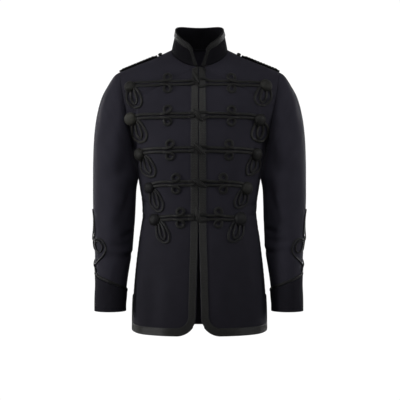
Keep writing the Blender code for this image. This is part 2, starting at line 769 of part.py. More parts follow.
def build_row(side, i, front):
    """A row of doubled cord with an eye above and below, from its cap to the middle."""
    z, eye_x = FROGS["z"][i], FROGS["eye_x"][i]
    cap_x = FROGS["cap_left" if side > 0 else "cap_right"][i]
    trial = np.linspace(cap_x, eye_x, 60)
    trial_z = z - ROW_DROOP * (trial / cap_x) ** 2
    places = front.point(*front.seat(points(side * trial, 0 * trial, trial_z)))
    away_from_cap = np.linalg.norm(places - places[0], axis=1)
    half = CORD_SPACING / 2
    end = np.interp(CAP_RADIUS + CAP_GAP + half + CORD / 2 + LAY, away_from_cap, trial)
    inner = ROW_END_LEFT if side > 0 else ROW_END_RIGHT
    braid_edge = BRAID + SIDE["edge"][-1] + side * CENTRE_SHIFT
    reach = EYE_RADIUS
    start = [(x, half, 0.0) for x in end + (eye_x + 2.7 * reach - end) * STRAIGHT_STEPS]
    curl = [
        (eye_x - a * reach, half + b * reach, lift)
        for a, b, lift in zip(CURL["in_"], CURL["out"], CURL["lift"])
    ]
    last_curl = curl[-1][0]
    runs = [(last_curl + braid_edge + RAMP_LOW) / 2, braid_edge + RAMP_LOW, braid_edge + RAMP_HIGH, inner]
    rest = [(x, half, 0.0) for x in runs]
    upper = start + curl + rest
    lower = [(x, -away, lift) for x, away, lift in reversed(upper)]
    route = upper + [(inner - half, 0.0, 0.0)] + lower + [(end + half, 0.0, 0.0)]
    x, away, lift = np.array(route).T
    middle = z - ROW_DROOP * (np.clip(x, 0, None) / cap_x) ** 2
    targets = points(side * x, 0 * x, middle + away)
    level, share = front.seat(targets)
    on_braid = np.interp(x, [braid_edge + RAMP_HIGH, braid_edge + RAMP_LOW - 0.001], [1.0, 0.0])
    height = LAY + on_braid * (BRAID_THICK + LAY) + lift * CROSSING
    path = front.point(level, share, height)
    cord(frog_name("frog", side, i), path, front.normal(level, share), closed=True)


def tangent_frame(surface, level, share, side):
    """A place's point, its normal, the way towards the middle line, and the way down."""
    point = surface.point(level, share)
    normal = surface.normal(level, share)
    down = np.array([0.0, 0.0, -1.0]) - normal * -normal[2]
    down = down / np.linalg.norm(down)
    inward = np.cross(down, normal)
    inward = inward * -math.copysign(1, inward[0] * side)
    return point, normal, inward, down


def build_cap_and_drop(side, i, surface):
    """A domed netted cap and the two nested loops of cord that hang below it."""
    cap_x = FROGS["cap_left" if side > 0 else "cap_right"][i]
    level, share = surface.seat(np.array([[side * cap_x, 0.0, FROGS["cap_z"][i]]]))
    centre, normal, inward, down = tangent_frame(surface, level[0], share[0], side)
    profile = [(1.0, 0.0), (1.0, 0.3), (0.86, 0.7), (0.5, 0.94), (0.12, 1.0)]
    profile = [(r * CAP_RADIUS, h * CAP_HEIGHT) for r, h in profile]
    turns = np.linspace(0, 2 * math.pi, 13)[:-1, None]
    rim = centre + CAP_RADIUS * (np.cos(turns) * inward + np.sin(turns) * down)
    rise = ((surface.point(*surface.seat(rim, (1, 1, 1))) - centre) @ normal).max()
    lift = LAY + max(rise, 0.0)
    turned(frog_name("cap", side, i), centre + normal * lift, normal, profile, 12, "cord")

    drop, lean = FROGS["drop"][i], FROGS["lean"][i]

    def loop(part, half_width, depth):
        """Points of a loop: share of the way down, and half width to each side."""
        t = np.asarray(part) * depth
        return lean * (1 - (1 - t) ** 2) + np.asarray(half_width), drop * t

    falls, widths = DROP_OUTER["fall"], DROP_OUTER["wide"]
    left = loop(falls, -widths, 1.0)
    right = loop(np.append(falls[-2::-1], 0.17), np.append(widths[-2::-1], 0.0165), 1.0)
    turn = loop([0.135], [0.0125], 1.0)
    falls, widths = DROP_INNER["fall"], DROP_INNER["wide"]
    back = loop(falls, widths, DROP_INNER_DEPTH)
    again = loop(falls[-2::-1], -widths[-2::-1], DROP_INNER_DEPTH)
    again[0][-1] = min(again[0][-1], 0.004)
    across = np.concatenate([left[0], right[0], turn[0], back[0], again[0]])
    fall = np.concatenate([left[1], right[1], turn[1], back[1], again[1]])
    stretch = np.maximum((CAP_RADIUS + CORD / 2 + CAP_GAP) / np.hypot(across, fall), 1.0)
    across, fall = across * stretch, fall * stretch
    targets = centre + across[:, None] * inward + fall[:, None] * down
    level, share = surface.seat(targets, (1, 1, 1))
    length = np.interp(level, surface.levels, surface.lengths)
    share = np.minimum(share, 1 - SIDE_KEEP / length)
    path = surface.point(level, share, LAY + SEAM)
    cord(frog_name("drop", side, i), path, surface.normal(level, share), closed=False, width=DROP_CORD)


def build_olivet(i, front):
    """A spindle button lying over the loop that catches it."""
    x, z, tilt = OLIVETS["x"][i], OLIVETS["z"][i], math.radians(OLIVETS["tilt"][i])
    level, share = front.seat(np.array([[x, 0.0, z]]))
    normal = front.normal(level[0], share[0])
    up = np.array([0.0, 0.0, 1.0]) - normal * normal[2]
    up = up / np.linalg.norm(up)
    across = np.cross(up, normal)
    across = across * math.copysign(1, across[0])
    axis = -math.sin(tilt) * across + math.cos(tilt) * up
    lift = LAY + BRAID_THICK + 0.0004 + CORD_HEIGHT + OLIVET_RADIUS
    centre = front.point(level[0], share[0]) + normal * lift
    profile = [(0.25, -0.5), (0.68, -0.32), (1.0, 0.0), (0.68, 0.32), (0.25, 0.5)]
    profile = [(r * OLIVET_RADIUS, run * OLIVET_LENGTH) for r, run in profile]
    turned(f"olivet_{i + 1}", centre, axis, profile, 8, "cord")


# Twisted cord along the shoulder seam, and the button beside it
SHOULDER_INNER = 0.119
SHOULDER_OUTER = 0.203
SHOULDER_TWISTS = 4
STRAND = 0.0052
STRAND_SPREAD = 0.0056
STRAND_RISE = 0.0030
STRAND_END = 0.0062
BUTTON_X = 0.103


def build_shoulder(side, front, back):
    """A twisted shoulder cord along the seam, and the small button at its inner end."""
    name = "left" if side > 0 else "right"
    shares = np.linspace(0, 1, 61)
    seam = (front.point(np.full(61, 2.0), shares) + back.point(np.full(61, 2.0), shares)) / 2
    both = front.normal(np.full(61, 2.0), shares) + back.normal(np.full(61, 2.0), shares)
    both = both / np.linalg.norm(both, axis=1, keepdims=True)

    def on_seam(x, across, lift):
        place = np.interp(x, side * seam[:, 0], shares)
        ridge = np.stack([np.interp(place, shares, seam[:, k]) for k in range(3)], axis=-1)
        up = np.stack([np.interp(place, shares, both[:, k]) for k in range(3)], axis=-1)
        ridge = ridge + up * np.asarray(lift)[..., None]
        ridge[..., 1] += across
        return ridge, up

    part = np.linspace(0, 1, 6 * SHOULDER_TWISTS + 1)
    angle = 2 * math.pi * SHOULDER_TWISTS * part
    x = SHOULDER_INNER + (SHOULDER_OUTER - SHOULDER_INNER) * part
    xs = np.concatenate([x, [x[-1] + STRAND_END], x[::-1], [x[0] - STRAND_END]])
    angles = np.concatenate([angle, [0.0], angle[::-1] + math.pi, [0.0]])
    flat = np.ones(len(xs))
    flat[[len(x), -1]] = 0.0
    base = LAY + 0.0004
    path, ups = on_seam(
        xs, STRAND_SPREAD * np.cos(angles) * flat, base + STRAND_RISE + STRAND_RISE * np.sin(angles) * flat
    )
    cord("shoulder_cord_" + name, path, ups, closed=True, width=STRAND, height=STRAND * 0.9)
    centre, up = on_seam(np.array([BUTTON_X]), np.array([0.0]), np.array([LAY]))
    profile = [(0.0042, 0.0), (0.0054, 0.002), (0.0050, 0.0044), (0.0025, 0.0062)]
    turned("shoulder_button_" + name, centre[0], up[0], profile, 10, "cord")


def main():
    for item in list(bpy.data.objects):
        bpy.data.objects.remove(item, do_unlink=True)
    fronts = {side: panel_surface(side, -1) for side in (1, -1)}
    backs = {side: panel_surface(side, 1) for side in (1, -1)}
    whole_front = joined(fronts[-1], fronts[1])
    for side in (1, -1):
        build_front(side, fronts[side])
        build_sleeve(side, sleeve_surface(side))
        build_shoulder(side, fronts[side], backs[side])
        for i in range(len(FROGS["z"])):
            build_row(side, i, whole_front)
            build_cap_and_drop(side, i, fronts[side])
    build_back(backs[1], backs[-1])
    build_collar(collar_surface())
    for i in range(len(OLIVETS["x"])):
        build_olivet(i, whole_front)


main()
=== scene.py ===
"""The looks of an officer's patrol jacket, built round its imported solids.

The file is laid out as a Blender add-on and run as a script. Metres, +Z up, front to -Y.
"""
import json
import math

import bpy
import numpy as np
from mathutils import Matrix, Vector

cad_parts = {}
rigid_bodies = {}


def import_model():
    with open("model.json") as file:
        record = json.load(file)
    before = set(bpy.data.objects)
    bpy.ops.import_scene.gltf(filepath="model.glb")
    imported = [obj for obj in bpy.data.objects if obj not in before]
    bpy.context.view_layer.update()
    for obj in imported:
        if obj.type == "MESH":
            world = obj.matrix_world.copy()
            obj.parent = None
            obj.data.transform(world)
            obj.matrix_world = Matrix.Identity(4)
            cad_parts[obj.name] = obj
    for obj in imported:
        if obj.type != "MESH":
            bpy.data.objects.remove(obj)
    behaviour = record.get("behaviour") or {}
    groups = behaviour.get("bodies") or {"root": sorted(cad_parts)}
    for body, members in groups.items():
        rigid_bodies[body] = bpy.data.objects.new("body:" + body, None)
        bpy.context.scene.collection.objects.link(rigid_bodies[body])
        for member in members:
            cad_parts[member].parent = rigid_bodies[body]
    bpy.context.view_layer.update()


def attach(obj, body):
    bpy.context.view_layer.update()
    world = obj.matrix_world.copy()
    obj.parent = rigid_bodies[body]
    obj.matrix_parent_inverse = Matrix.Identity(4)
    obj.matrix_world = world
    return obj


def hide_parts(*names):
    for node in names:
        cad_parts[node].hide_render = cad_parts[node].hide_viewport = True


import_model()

bl_info = {
    "name": "Patrol Jacket",
    "version": (1, 0, 0),
    "blender": (4, 5, 0),
    "location": "3D View > Sidebar > Jacket",
    "description": "Builds the cloth, braid, cords and buttons of a frogged patrol jacket",
    "category": "Add Mesh",
}

BODY = "root"

# Cloth, trims and gaps, the same as the solids
CLOTH = 0.0018
COLLAR_CLOTH = 0.0022
BRAID_THICK = 0.0016
SEAM = 0.0003
LAY = 0.0006

# Lengths of the cut
HEM_FRONT = -0.740
HEM_BACK = -0.734
UNDERARM = -0.262
SLIT = 0.090
BRAID = 0.019
CORNER_FRONT = 0.050
CORNER_SLIT = 0.030
HEM_RISE = 0.008
CENTRE_SHIFT = -0.0025
SQUARENESS = 0.82

# Neck and collar
NECK_HALF_WIDTH = 0.0745
NECK_HALF_DEPTH = 0.066
NECK_MIDDLE = 0.002
NECK_TILT = 0.0295
NECK_SADDLE = 0.0175
COLLAR_HEIGHT = 0.053
COLLAR_TOP_WIDTH = 0.0625
COLLAR_TOP_DEPTH = 0.056
COLLAR_TOP_MIDDLE = -0.012
COLLAR_SLANT = 0.45
COLLAR_CORNER = 0.024
COLLAR_BRAID = 0.014
COLLAR_OPEN = 0.0035
COLLAR_WAVE = 0.0009
COLLAR_FOOT = 0.0035
CUFF_WAVE = 0.0006

# Cords and small pieces
CORD = 0.0076
CORD_HEIGHT = 0.0032
CORD_SPACING = 0.0094
EYE_RADIUS = 0.0092
CAP_RADIUS = 0.0152
CAP_HEIGHT = 0.0115
OLIVET_RADIUS = 0.0056
OLIVET_LENGTH = 0.042
ROW_DROOP = 0.003


def table(text, plain=""):
    """A table with named columns, its rows in millimetres apart from the plain columns."""
    names, *rows = [line.split() for line in text.strip().splitlines()]
    columns = np.array(rows, dtype=float).T
    return {name: column if name in plain.split() else column / 1000 for name, column in zip(names, columns)}


# Half widths and edges of the body at each height
SIDE = table("""
       z     x edge
    -742   177  6.8
    -670 175.8  6.2
    -585 169.7  4.2
    -500   160  1.8
    -425 150.8  0.6
    -352 159.2  0.5
    -305   168  0.5
    -262 174.2  0.5
""")
# Depth of the middle lines of front and back
FRONT_LINE = table("""
       z    y
    -742 -138
    -670 -135
    -585 -127
    -500 -118
    -425 -114
    -352 -119
    -262 -129
    -200 -129
    -150 -122
    -100 -104
     -70  -85
     -47  -64
""")
BACK_LINE = table("""
       z   y
    -742 136
    -670 134
    -585 127
    -500 112
    -425 102
    -352 105
    -262 117
    -200 122
    -150 121
    -100 114
     -50 100
     -10  80
      12  68
""")
# How straight each row above the underarm runs, and how far it swells
ROWS = table("""
    rise straight swell_front swell_back
       0        0           0          0
    0.25      0.4          10          6
     0.5     0.75          28         22
    0.75     0.95          13          8
       1        1           0          0
""", plain="rise straight")
# Outer and inner line of the sleeve, with its middle and half depth
SLEEVE = table("""
    out_x out_z  in_x in_z mid_y half_y
      212   -56 174.5 -262     2     71
      226   -67 173.8 -281     1     77
      244   -95 172.2 -304     0     79
    259.5  -126 169.5 -328    -1     79
    271.5  -172 167.2 -352    -1     77
    278.5  -225 167.5 -378     0     75
    281.5  -290   169 -412     2     72
      282  -360   171 -448     3     69
      282  -430   174 -486     0     66
    282.8  -490 177.5 -526    -6     63
    281.5  -545 183.5 -562   -13     60
    278.5  -600   190 -606   -20     57
    278.5  -645   194 -648   -26     54
      279  -684 195.5 -684   -31     52
""")
# Long soft folds of the sleeve: row and turn of the middle, half length and width, depth
FOLDS = table("""
    row  turn long wide deep
    3.6  2.05  1.9 0.42    5
    3.4 -2.15  1.8  0.4  4.5
    7.6   2.3  1.1 0.45    4
    9.2  -1.7  1.2  0.4    3
""", plain="row turn long wide")
CUFF_INNER = 0.048
CUFF_OUTER = 0.090
KNOT_TURN = math.radians(15)
WRIST_RADIUS = 0.056
ARM_RADIUS = 0.062
# Where each sleeve rests on the body: height, depth, and how far this reaches up and down
REST_HEIGHT = -0.330
REST_DEPTH = 0.0075
REST_ABOVE = 0.046
REST_BELOW = 0.022
# How far the inner and outer side of each forearm swing in as worn
FOREARM_IN = {1: (0.0050, 0.0095), -1: (0.0005, 0.0060)}
FOREARM_TOP = -0.380
FOREARM_RUN = 0.190

# Rows of frogging: height at the middle line, and how far out the eyes lie
FROGS = table("""
        z eye_x
    -92.5  82.5
     -177  81.5
     -265    75
     -351  60.5
     -439  48.5
""")
# Spindle buttons: place in the front view and tilt from upright
OLIVETS = table("""
     x    z tilt
    -8  -83   22
    -4 -178   36
     1 -264   40
     0 -350   58
    -5 -432   12
""", plain="tilt")
# How far the loop of each row on the wearer's left opens round its button, up and down
LOOPS = table("""
      up down
    10.5 10.5
     7.5 10.5
     8.5    8
     6.5    7
       7  9.5
""")
# A curl of the cord: towards the middle, away from the row, and how far it is lifted
CURL = table("""
      in_   out lift
       -2     0    0
    -1.25     0 0.75
     -0.3  0.12    1
      0.5  0.45  0.9
        1  1.15  0.2
      0.7  1.85    0
        0  2.15    0
     -0.7  1.85    0
       -1  1.15    0
    -0.75   0.5    0
     -0.1  0.03    0
      0.8 -0.02    0
      1.9     0    0
""", plain="in_ out lift")
# Middle of each cap's dome, seen from the front
DOMES_LEFT = table("""
        x      z reach
      174  -95.4  1.12
    158.3 -188.1  1.05
    149.8 -276.7  1.12
    124.8 -364.3  1.12
    107.6 -442.6  1.15
""", plain="reach")
DOMES_RIGHT = table("""
        x      z reach
    182.8  -98.4  0.98
    179.2 -184.6  1.12
    158.6 -276.7  1.08
      132 -363.2     1
    118.3 -444.6  1.05
""", plain="reach")
# Each drop from its dome: outer and inner side and bottom towards the middle, and the fall
DROPS_LEFT = table("""
    outer inner bottom fall
    -11.8  32.5      8   55
    -19.5    25   -2.5 54.5
       -7  29.5   23.5   53
     -0.5  35.5     23   50
     -5.5  33.5   20.5 59.5
""")
DROPS_RIGHT = table("""
    outer inner bottom fall
     -6.2  34.5     18 57.5
      3.5    44   25.5   60
        6    46     33   58
        4  38.4   25.5   61
      7.2  40.8     29   60
""")
# The outer loop: share of the fall, of its outer side, of its inner side and of the bottom
LOOP_DOWN = table("""
    fall outer inner bottom
    0.05  0.45   0.1      0
    0.22  0.85  0.03      0
    0.42     1     0   0.02
    0.62  0.98     0   0.05
     0.8   0.8  0.04   0.18
    0.93  0.42   0.1    0.5
       1     0  0.05   0.95
    0.95     0  0.62   0.45
    0.82     0  0.93   0.09
    0.64     0     1      0
    0.42     0  0.86      0
     0.2  0.05  0.68      0
    0.04   0.1  0.45      0
""", plain="fall outer inner bottom")
# The inner loop: share of the fall, and share of the way from the outer to the inner side
LOOP_WITHIN = table("""
    fall share
    0.06  0.34
    0.28  0.32
    0.45  0.31
     0.6  0.31
    0.72  0.34
     0.8  0.41
    0.86  0.51
     0.8  0.61
    0.72  0.67
     0.6  0.69
    0.45  0.69
    0.28  0.68
    0.06  0.66
""", plain="fall share")
DROP_CORD = 0.0066
SIDE_KEEP = 0.0035

# The Austrian knot, one cord from foot to foot: across, up from the cuff's point, lift
KNOT = table("""
    across  up lift
     -10.5   0    0
        -7   6    0
         0  12    0
        14  18    0
        31  27    0
        47  39    0
        56  53    0
        54  67    0
        42  76    0
        26  75    0
        12  69  0.6
         0  71    1
        -9  78  0.5
       -15  89    0
       -17 103    0
       -15 118    0
        -8 130    0
         0 134    0
         8 130    0
        15 118    0
        17 103    0
        15  89    0
         9  78    0
         0  71    0
       -12  69    0
       -26  75    0
       -42  76    0
       -54  67    0
       -56  53    0
       -47  39    0
       -31  27    0
       -14  18  0.5
         0  12    1
         7   6  0.4
      10.5   0    0
""", plain="lift")
# The small loop inside each lobe of the knot
KNOT_CURL = table("""
    across up
        15 63
        24 69
        37 70
        46 62
        43 50
        32 45
        20 50
""")
KNOT_CORD = 0.0050

# Creases: distance out from the middle line and height of the middle, lean,
# half length and width, depth with troughs negative, and bend along the length
CREASES_LEFT = table("""
    out    z lean long wide deep bend
    188 -215   62   60   11   -3    2
    168 -232   55   50   12  1.6    2
    196 -160   80   50    9 -2.4   -1
    150 -290   35   45   11 -1.4    0
    165 -405   12   40    8 -1.8    1
    175 -432    6   45    8 -2.2   -1
    160 -462  -10   50   10 -1.2    0
     95 -620   84  110   26 -2.4    0
    150 -640   97  110   22    3    0
     60 -540   70   60   18 -1.2    0
    120  -85  -22   50   12 -1.2    1
""", plain="lean bend")
CREASES_RIGHT = table("""
    out    z lean long wide deep bend
    190 -205   68   55   12 -3.2    2
    172 -240   48   55   13  1.4    2
    199 -150   84   45    9   -2   -1
    155 -300   30   40   10 -1.6    0
    170 -398   16   38    8   -2    1
    168 -440    3   48    9 -1.8   -1
    110 -625   92  115   24 -2.8    0
    158 -650   84  100   20  3.2    0
     70 -560   76   70   20 -1.4    0
    110  -80  -26   45   12   -1    1
""", plain="lean bend")
CREASES_BACK = table("""
    out    z lean long wide deep bend
    150 -190   58   60   12 -3.4  1.5
    172 -235   66   55   11 -2.8    1
    110 -130   25   50   14 -1.4    1
     60 -415    4   55    9   -2 -0.5
    120 -440   -8   60   10 -2.6  0.5
     90 -470   10   50   10 -1.6    0
     50 -630   88  110   22   -4    0
    120 -640   94  115   26  3.8    0
    165 -630   86  100   18 -2.6    0
     30 -300   84   80   30 -1.6    0
""", plain="lean bend")
# Creases of the sleeves: turn and distance down from the shoulder, lean, sizes as above
CREASES_SLEEVE = table("""
    turn down lean long wide deep bend
    1.25   75   78   55   11   -2    2
     0.7   60  100   45   12  1.2    0
    1.85  135   64   75   12   -3  1.5
    2.25  210   74   80   11 -3.4    1
     1.6  255   84  110   16  1.6    0
    2.45  300   35   45    9 -3.2    2
     2.1  335   22   50    9 -2.8    1
     2.6  362   12   50    8 -2.6    0
     1.5  375   28   45   10 -1.4    0
    1.95  430   66   60   12   -2    1
    -1.1   90  -70   60   12 -2.2    1
    -1.9  150  -62   70   12   -3    1
    -2.3  235  -75   75   11   -3    0
    -1.2  330  -25   50   10 -2.2    1
    -0.8  365  -12   55   10   -2    0
    -1.7  300  -40   45   10 -2.2    0
    -1.4  440  -70   70   14 -1.8    0
""", plain="turn lean bend")


# How closely the cloth, the braid and the cords are made up of points
PANEL_COLUMNS = 91
HEM_BAND = 0.096
FRONT_BAND = 0.054
FROM_SIDE = np.array([36, 30, 25, 20, 15.5, 11.5, 8, 5.5, 3.5, 1.8, 0]) / 1000
EDGE_ROWS = 230
CORD_STEP = 0.0011
CORD_SIDES = 12

# Cloth at the seams: run from the underarm to the shoulder, depth of the groove and of the pucker
SEAM_RUN = 0.19
SEAM_SINK = 0.0007
PUCKER = 0.0004
# On the flat cut: height of a panel above its underarm, and of one row of the sleeve's table
YOKE = 0.26
SLEEVE_ROW = 0.045
# Where the front braid starts below the collar, and how far it stays off the middle edge
BELOW_COLLAR = 0.001
CENTRE_GAP = 0.0009

# How high the cords lie, where a row ends and bends at its cap, and where it climbs onto the braid
CAP_COVER = (0.014, 0.034)
ROW_TURN = 0.030
ROW_WAVER = 0.0006
CORD_LIFT = 0.0003
CROSSING = CORD_HEIGHT + 0.0002
ROW_END_RIGHT = 0.0170
ROW_JOIN = 0.0225
RAMP_LOW = 0.006
RAMP_HIGH = 0.0015
WITHIN_KEEP = 0.0085
CUFF_CORD_LIFT = 0.0002

# The plait of a cord: its pitch and its relief
PLAIT_PITCH = 0.0034
PLAIT_RELIEF = 0.0003

# Caps turn to the front by their tilt and reach below their rim by their skirt
CAP_TILT = 0.55
CAP_SKIRT = 0.006
CAP_SIDES = 112
CAP_RIBS = 16
CAP_CLIMB = 10.5
CAP_RELIEF = 0.00020
# Tones of some caps and drops; the lower rows take the cord painted darker, a painted shade
CAP_TONES = {
    (-1, 1): "light cord", (-1, 0): "worn cord", (-1, 2): "worn cord", (-1, 3): "cord painted darker",
    (-1, 4): "cord painted darker", (1, 0): "worn cord", (1, 3): "worn cord", (1, 4): "cord painted darker",
}
DROP_TONES = {
    (-1, 1): "worn cord", (-1, 3): "cord painted darker", (-1, 4): "cord painted darker", (1, 1): "worn cord",
    (1, 3): "cord painted darker", (1, 4): "cord painted darker",
}

# Spindle buttons
OLIVET_SIDES = 56
OLIVET_RIBS = 7
OLIVET_WINDS = 4.5
OLIVET_RELIEF = 0.00026

# Shoulder cords and their buttons
SHOULDER_INNER = 0.119
SHOULDER_OUTER = 0.203
STRAND = 0.0052
STRAND_SPREAD = 0.00374
STRAND_RISE = 0.0019
STRAND_SINK = -0.0019
STRAND_END = 0.0062
BUTTON_X = 0.103
BUTTON_RADIUS = 0.0056
BUTTON_HALF_HEIGHT = 0.0036
BUTTON_MIDDLE = 0.0034
BUTTON_SIDES = 40
BUTTON_RIBS = 5
BUTTON_CLIMB = 9

# The sleeve knot: how far its top leans back and from which height, and its place over the cuff's point
KNOT_LEAN = 0.008
KNOT_LEAN_FROM = 0.070
KNOT_LEAN_RUN = 0.050
KNOT_UP = CORD + 0.003
KNOT_LIFT = -0.0004
CURL_CORD = 0.0038
CURL_HEIGHT = 0.0034

# The small twisted loop below the collar
THREAD = 0.0017
THREAD_HEIGHT = 0.0015
THREAD_PITCH = 0.0012
THREAD_RELIEF = 0.00006
THREAD_SIDES = 8
THREAD_X = 0.0135
THREAD_Z = -0.0525
THREAD_HALF_WIDTH = 0.0040
THREAD_HALF_HEIGHT = 0.0072

# The braid's section: distance inside the edge, and height over the cloth
BRAID_SECTION = table("""
    inside high
      -0.7 -1.8
      -1.6 -1.6
      -1.8  0.4
      -1.3  1.5
      -0.4  2.1
         1  2.3
         3    2
         6  2.1
        10  2.2
        14  2.1
      16.5    2
      18.1  2.3
      18.8  1.9
        19  1.1
      18.6  0.3
        12  0.3
         5  0.3
      -0.5  0.3
""")

# Painted shade: the wool's colour darkens between these heights, as if less light reached the skirt
WAIST = -0.34
SKIRT = -0.58

# The stage
CAMERA_AWAY = 3.5
CAMERA_HEIGHT = -0.394
CAMERA_ACROSS = 0.0013
CAMERA_LENS = 118.9
SENSOR = 36.0
FLOOR = -1.6
FLOOR_HALF = 3.5
FLOOR_GLOW = 0.62
ROOM_GLOW = 1.03
# Each lamp: place, aim, size, share of the key power, spread of its beam in degrees
KEY_TINT = (1.0, 0.99, 0.98)
BREAST = (0.0, 0.0, -0.08)
MIDDLE = (0.0, 0.0, -0.38)
LAMPS = {
    "Key": ((-3.2, -1.1, 1.1), BREAST, 1.7, 0.038, 44),
    "Fill": ((3.2, -1.2, 0.9), BREAST, 1.7, 0.034, 44),
    "Top": ((0.0, -1.7, 2.0), BREAST, 1.4, 0.028, 44),
    "Front": ((0.0, -3.6, 0.6), (0.0, 0.0, 0.0), 1.0, 0.0075, 20),
    "Low": ((0.0, -3.0, -1.4), BREAST, 1.4, 0.0045, 40),
    "Side left": ((-3.0, -1.1, -0.2), (-0.25, -0.1, -0.42), 1.0, 0.028, 20),
    "Side right": ((3.0, -1.1, -0.2), (0.25, -0.1, -0.42), 1.0, 0.0102, 20),
    "Rim left": ((-2.4, 0.9, 0.1), MIDDLE, 1.6, 0.12, 180),
    "Rim right": ((2.4, 0.9, 0.1), MIDDLE, 1.6, 0.12, 180),
    "Back left": ((-2.2, 2.6, 0.2), MIDDLE, 1.0, 0.038, 44),
    "Back right": ((2.2, 2.6, 0.2), MIDDLE, 1.0, 0.034, 44),
}

# Creases fade out within these distances of an edge and of the cuff
CREASE_FADE = 0.03
CUFF_FADE = 0.12
# The right sleeve's creases lie lower, and those of the back's other half are scaled, moved and shallower
SLEEVE_SHIFT = 0.013
OTHER_HALF = (0.96, 0.012, 0.85)


# Curves and surfaces


def hand(side):
    """The name of a side: 1 is the wearer's left, -1 the right."""
    return "left" if side > 0 else "right"


def ease(value):
    """0 below 0, 1 above 1, and 3 v^2 - 2 v^3 between."""
    value = np.clip(value, 0, 1)
    return value * value * (3 - 2 * value)


def smooth(at, knots, values):
    """A curve through a table, with the mean slope of the neighbours at each row."""
    at = np.clip(at, knots[0], knots[-1])
    slopes = np.gradient(values, knots)
    row = np.clip(np.searchsorted(knots, at, side="right") - 1, 0, len(knots) - 2)
    step = knots[row + 1] - knots[row]
    part = (at - knots[row]) / step
    start = (1 + 2 * part) * (1 - part) ** 2 * values[row] + part * (1 - part) ** 2 * step * slopes[row]
    end = part**2 * (3 - 2 * part) * values[row + 1] + part**2 * (part - 1) * step * slopes[row + 1]
    return start + end


def points(x, y, z):
    """Stack three arrays as points."""
    return np.stack(np.broadcast_arrays(x, y, z), axis=-1)


def unit(vectors):
    """Vectors of length one."""
    return vectors / np.maximum(np.linalg.norm(vectors, axis=-1, keepdims=True), 1e-12)


def run_along(path):
    """The distance covered along a path at each of its points."""
    return np.concatenate([[0], np.cumsum(np.linalg.norm(np.diff(path, axis=0), axis=1))])


def ring_turns(sides):
    """Turns of the points of a ring, an even step apart."""
    return np.arange(sides) * 2 * math.pi / sides


def ribs(wave, climb, second=1.0):
    """Two sets of ribs that wind opposite ways and cross: the higher of two cosines."""
    return np.maximum(np.cos(wave + climb), second * np.cos(wave - climb))


def neck(turn):
    """The neck seam: an oval of sine and cosine, tilted forward, which rises by the sine squared.

    Turn 0 is at the front and pi at the nape.
    """
    return points(
        NECK_HALF_WIDTH * np.sin(turn),
        NECK_MIDDLE - NECK_HALF_DEPTH * np.cos(turn),
        -NECK_SADDLE - NECK_TILT * np.cos(turn) + NECK_SADDLE * np.sin(turn) ** 2,
    )


def sleeve_ring(row, turn):
    """A ring of the sleeve: turn 0 on its outer line, a quarter turn on to the front.

    It is an ellipse between the sleeve's outer and inner line. A fold of the elbow narrows it by
    deep * exp(-(rows / long) to the fourth - (turn / wide) squared).
    """
    knots = np.arange(len(SLEEVE["out_x"]), dtype=float)
    value = {name: smooth(row, knots, column) for name, column in SLEEVE.items()}
    fold = 0.0
    for middle, bend, long, wide, deep in zip(*FOLDS.values()):
        fold = fold + deep * np.exp(-(((row - middle) / long) ** 4) - ((turn - bend) / wide) ** 2)
    waist = 1 - fold / value["half_y"]
    return points(
        (value["out_x"] + value["in_x"]) / 2 + (value["out_x"] - value["in_x"]) / 2 * np.cos(turn) * waist,
        value["mid_y"] - value["half_y"] * np.sin(turn) * waist,
        (value["out_z"] + value["in_z"]) / 2 + (value["out_z"] - value["in_z"]) / 2 * np.cos(turn) * waist,
    )


def panel_rows(side, face, levels, part):
    """Rows of a front (face -1) or a half back (face 1), from the middle line to the side.

    Levels 0 to 1 rise from the hem to the underarm as level sections. From 1 to 2 the row's
    inner end goes up to the neck and round it, and its outer end goes up the armhole.
    A level section is a squared quarter oval, sine and 1 - cosine to the power SQUARENESS, which
    turns into a straight row with a swell of sin(pi * part) towards the shoulder.
    """
    hem, line = (HEM_FRONT, FRONT_LINE) if face < 0 else (HEM_BACK, BACK_LINE)
    low = np.clip(levels, 0, 1)[:, None]
    rise = np.clip(levels - 1, 0, 1)[:, None]
    climb = HEM_RISE * (1 - low) ** 3 * part[None, :] ** 3 if face < 0 else 0.0
    level_z = hem + (UNDERARM - hem) * low
    top = neck(np.array(0.0 if face < 0 else math.pi))[2]
    middle_z = level_z + (top - UNDERARM) * np.clip(rise * 2, 0, 1)
    quarter = math.pi / 2 * np.clip(rise * 2 - 1, 0, 1)
    ring = neck(quarter if face < 0 else math.pi - quarter)
    on_neck = rise > 0.5
    edge = smooth(middle_z, SIDE["z"], SIDE["edge"]) + side * CENTRE_SHIFT if face < 0 else 0 * middle_z
    start_x = np.where(on_neck, np.maximum(ring[..., 0], edge), edge)
    start_y = np.where(on_neck, ring[..., 1], smooth(middle_z, line["z"], line["y"]))
    start_z = np.where(on_neck, ring[..., 2], middle_z)
    hole = sleeve_ring(np.zeros_like(rise), -face * math.pi * (1 - rise))
    under = rise <= 0
    end_x = np.where(under, smooth(level_z, SIDE["z"], SIDE["x"]), hole[..., 0] - SEAM)
    end_y = np.where(under, 0.002, hole[..., 1]) + face * SEAM / 2
    end_z = np.where(under, level_z, hole[..., 2])
    straight = smooth(rise, ROWS["rise"], ROWS["straight"])
    swell = smooth(rise, ROWS["rise"], ROWS["swell_front" if face < 0 else "swell_back"])
    turn = part[None, :] * math.pi / 2
    out = (1 - straight) * np.sin(turn) ** SQUARENESS + straight * part
    back = (1 - straight) * (1 - np.cos(turn) ** SQUARENESS) + straight * part
    return points(
        side * (start_x + (end_x - start_x) * out),
        start_y + (end_y - start_y) * back + face * swell * np.sin(math.pi * part),
        start_z + (end_z - start_z) * part + climb,
    )


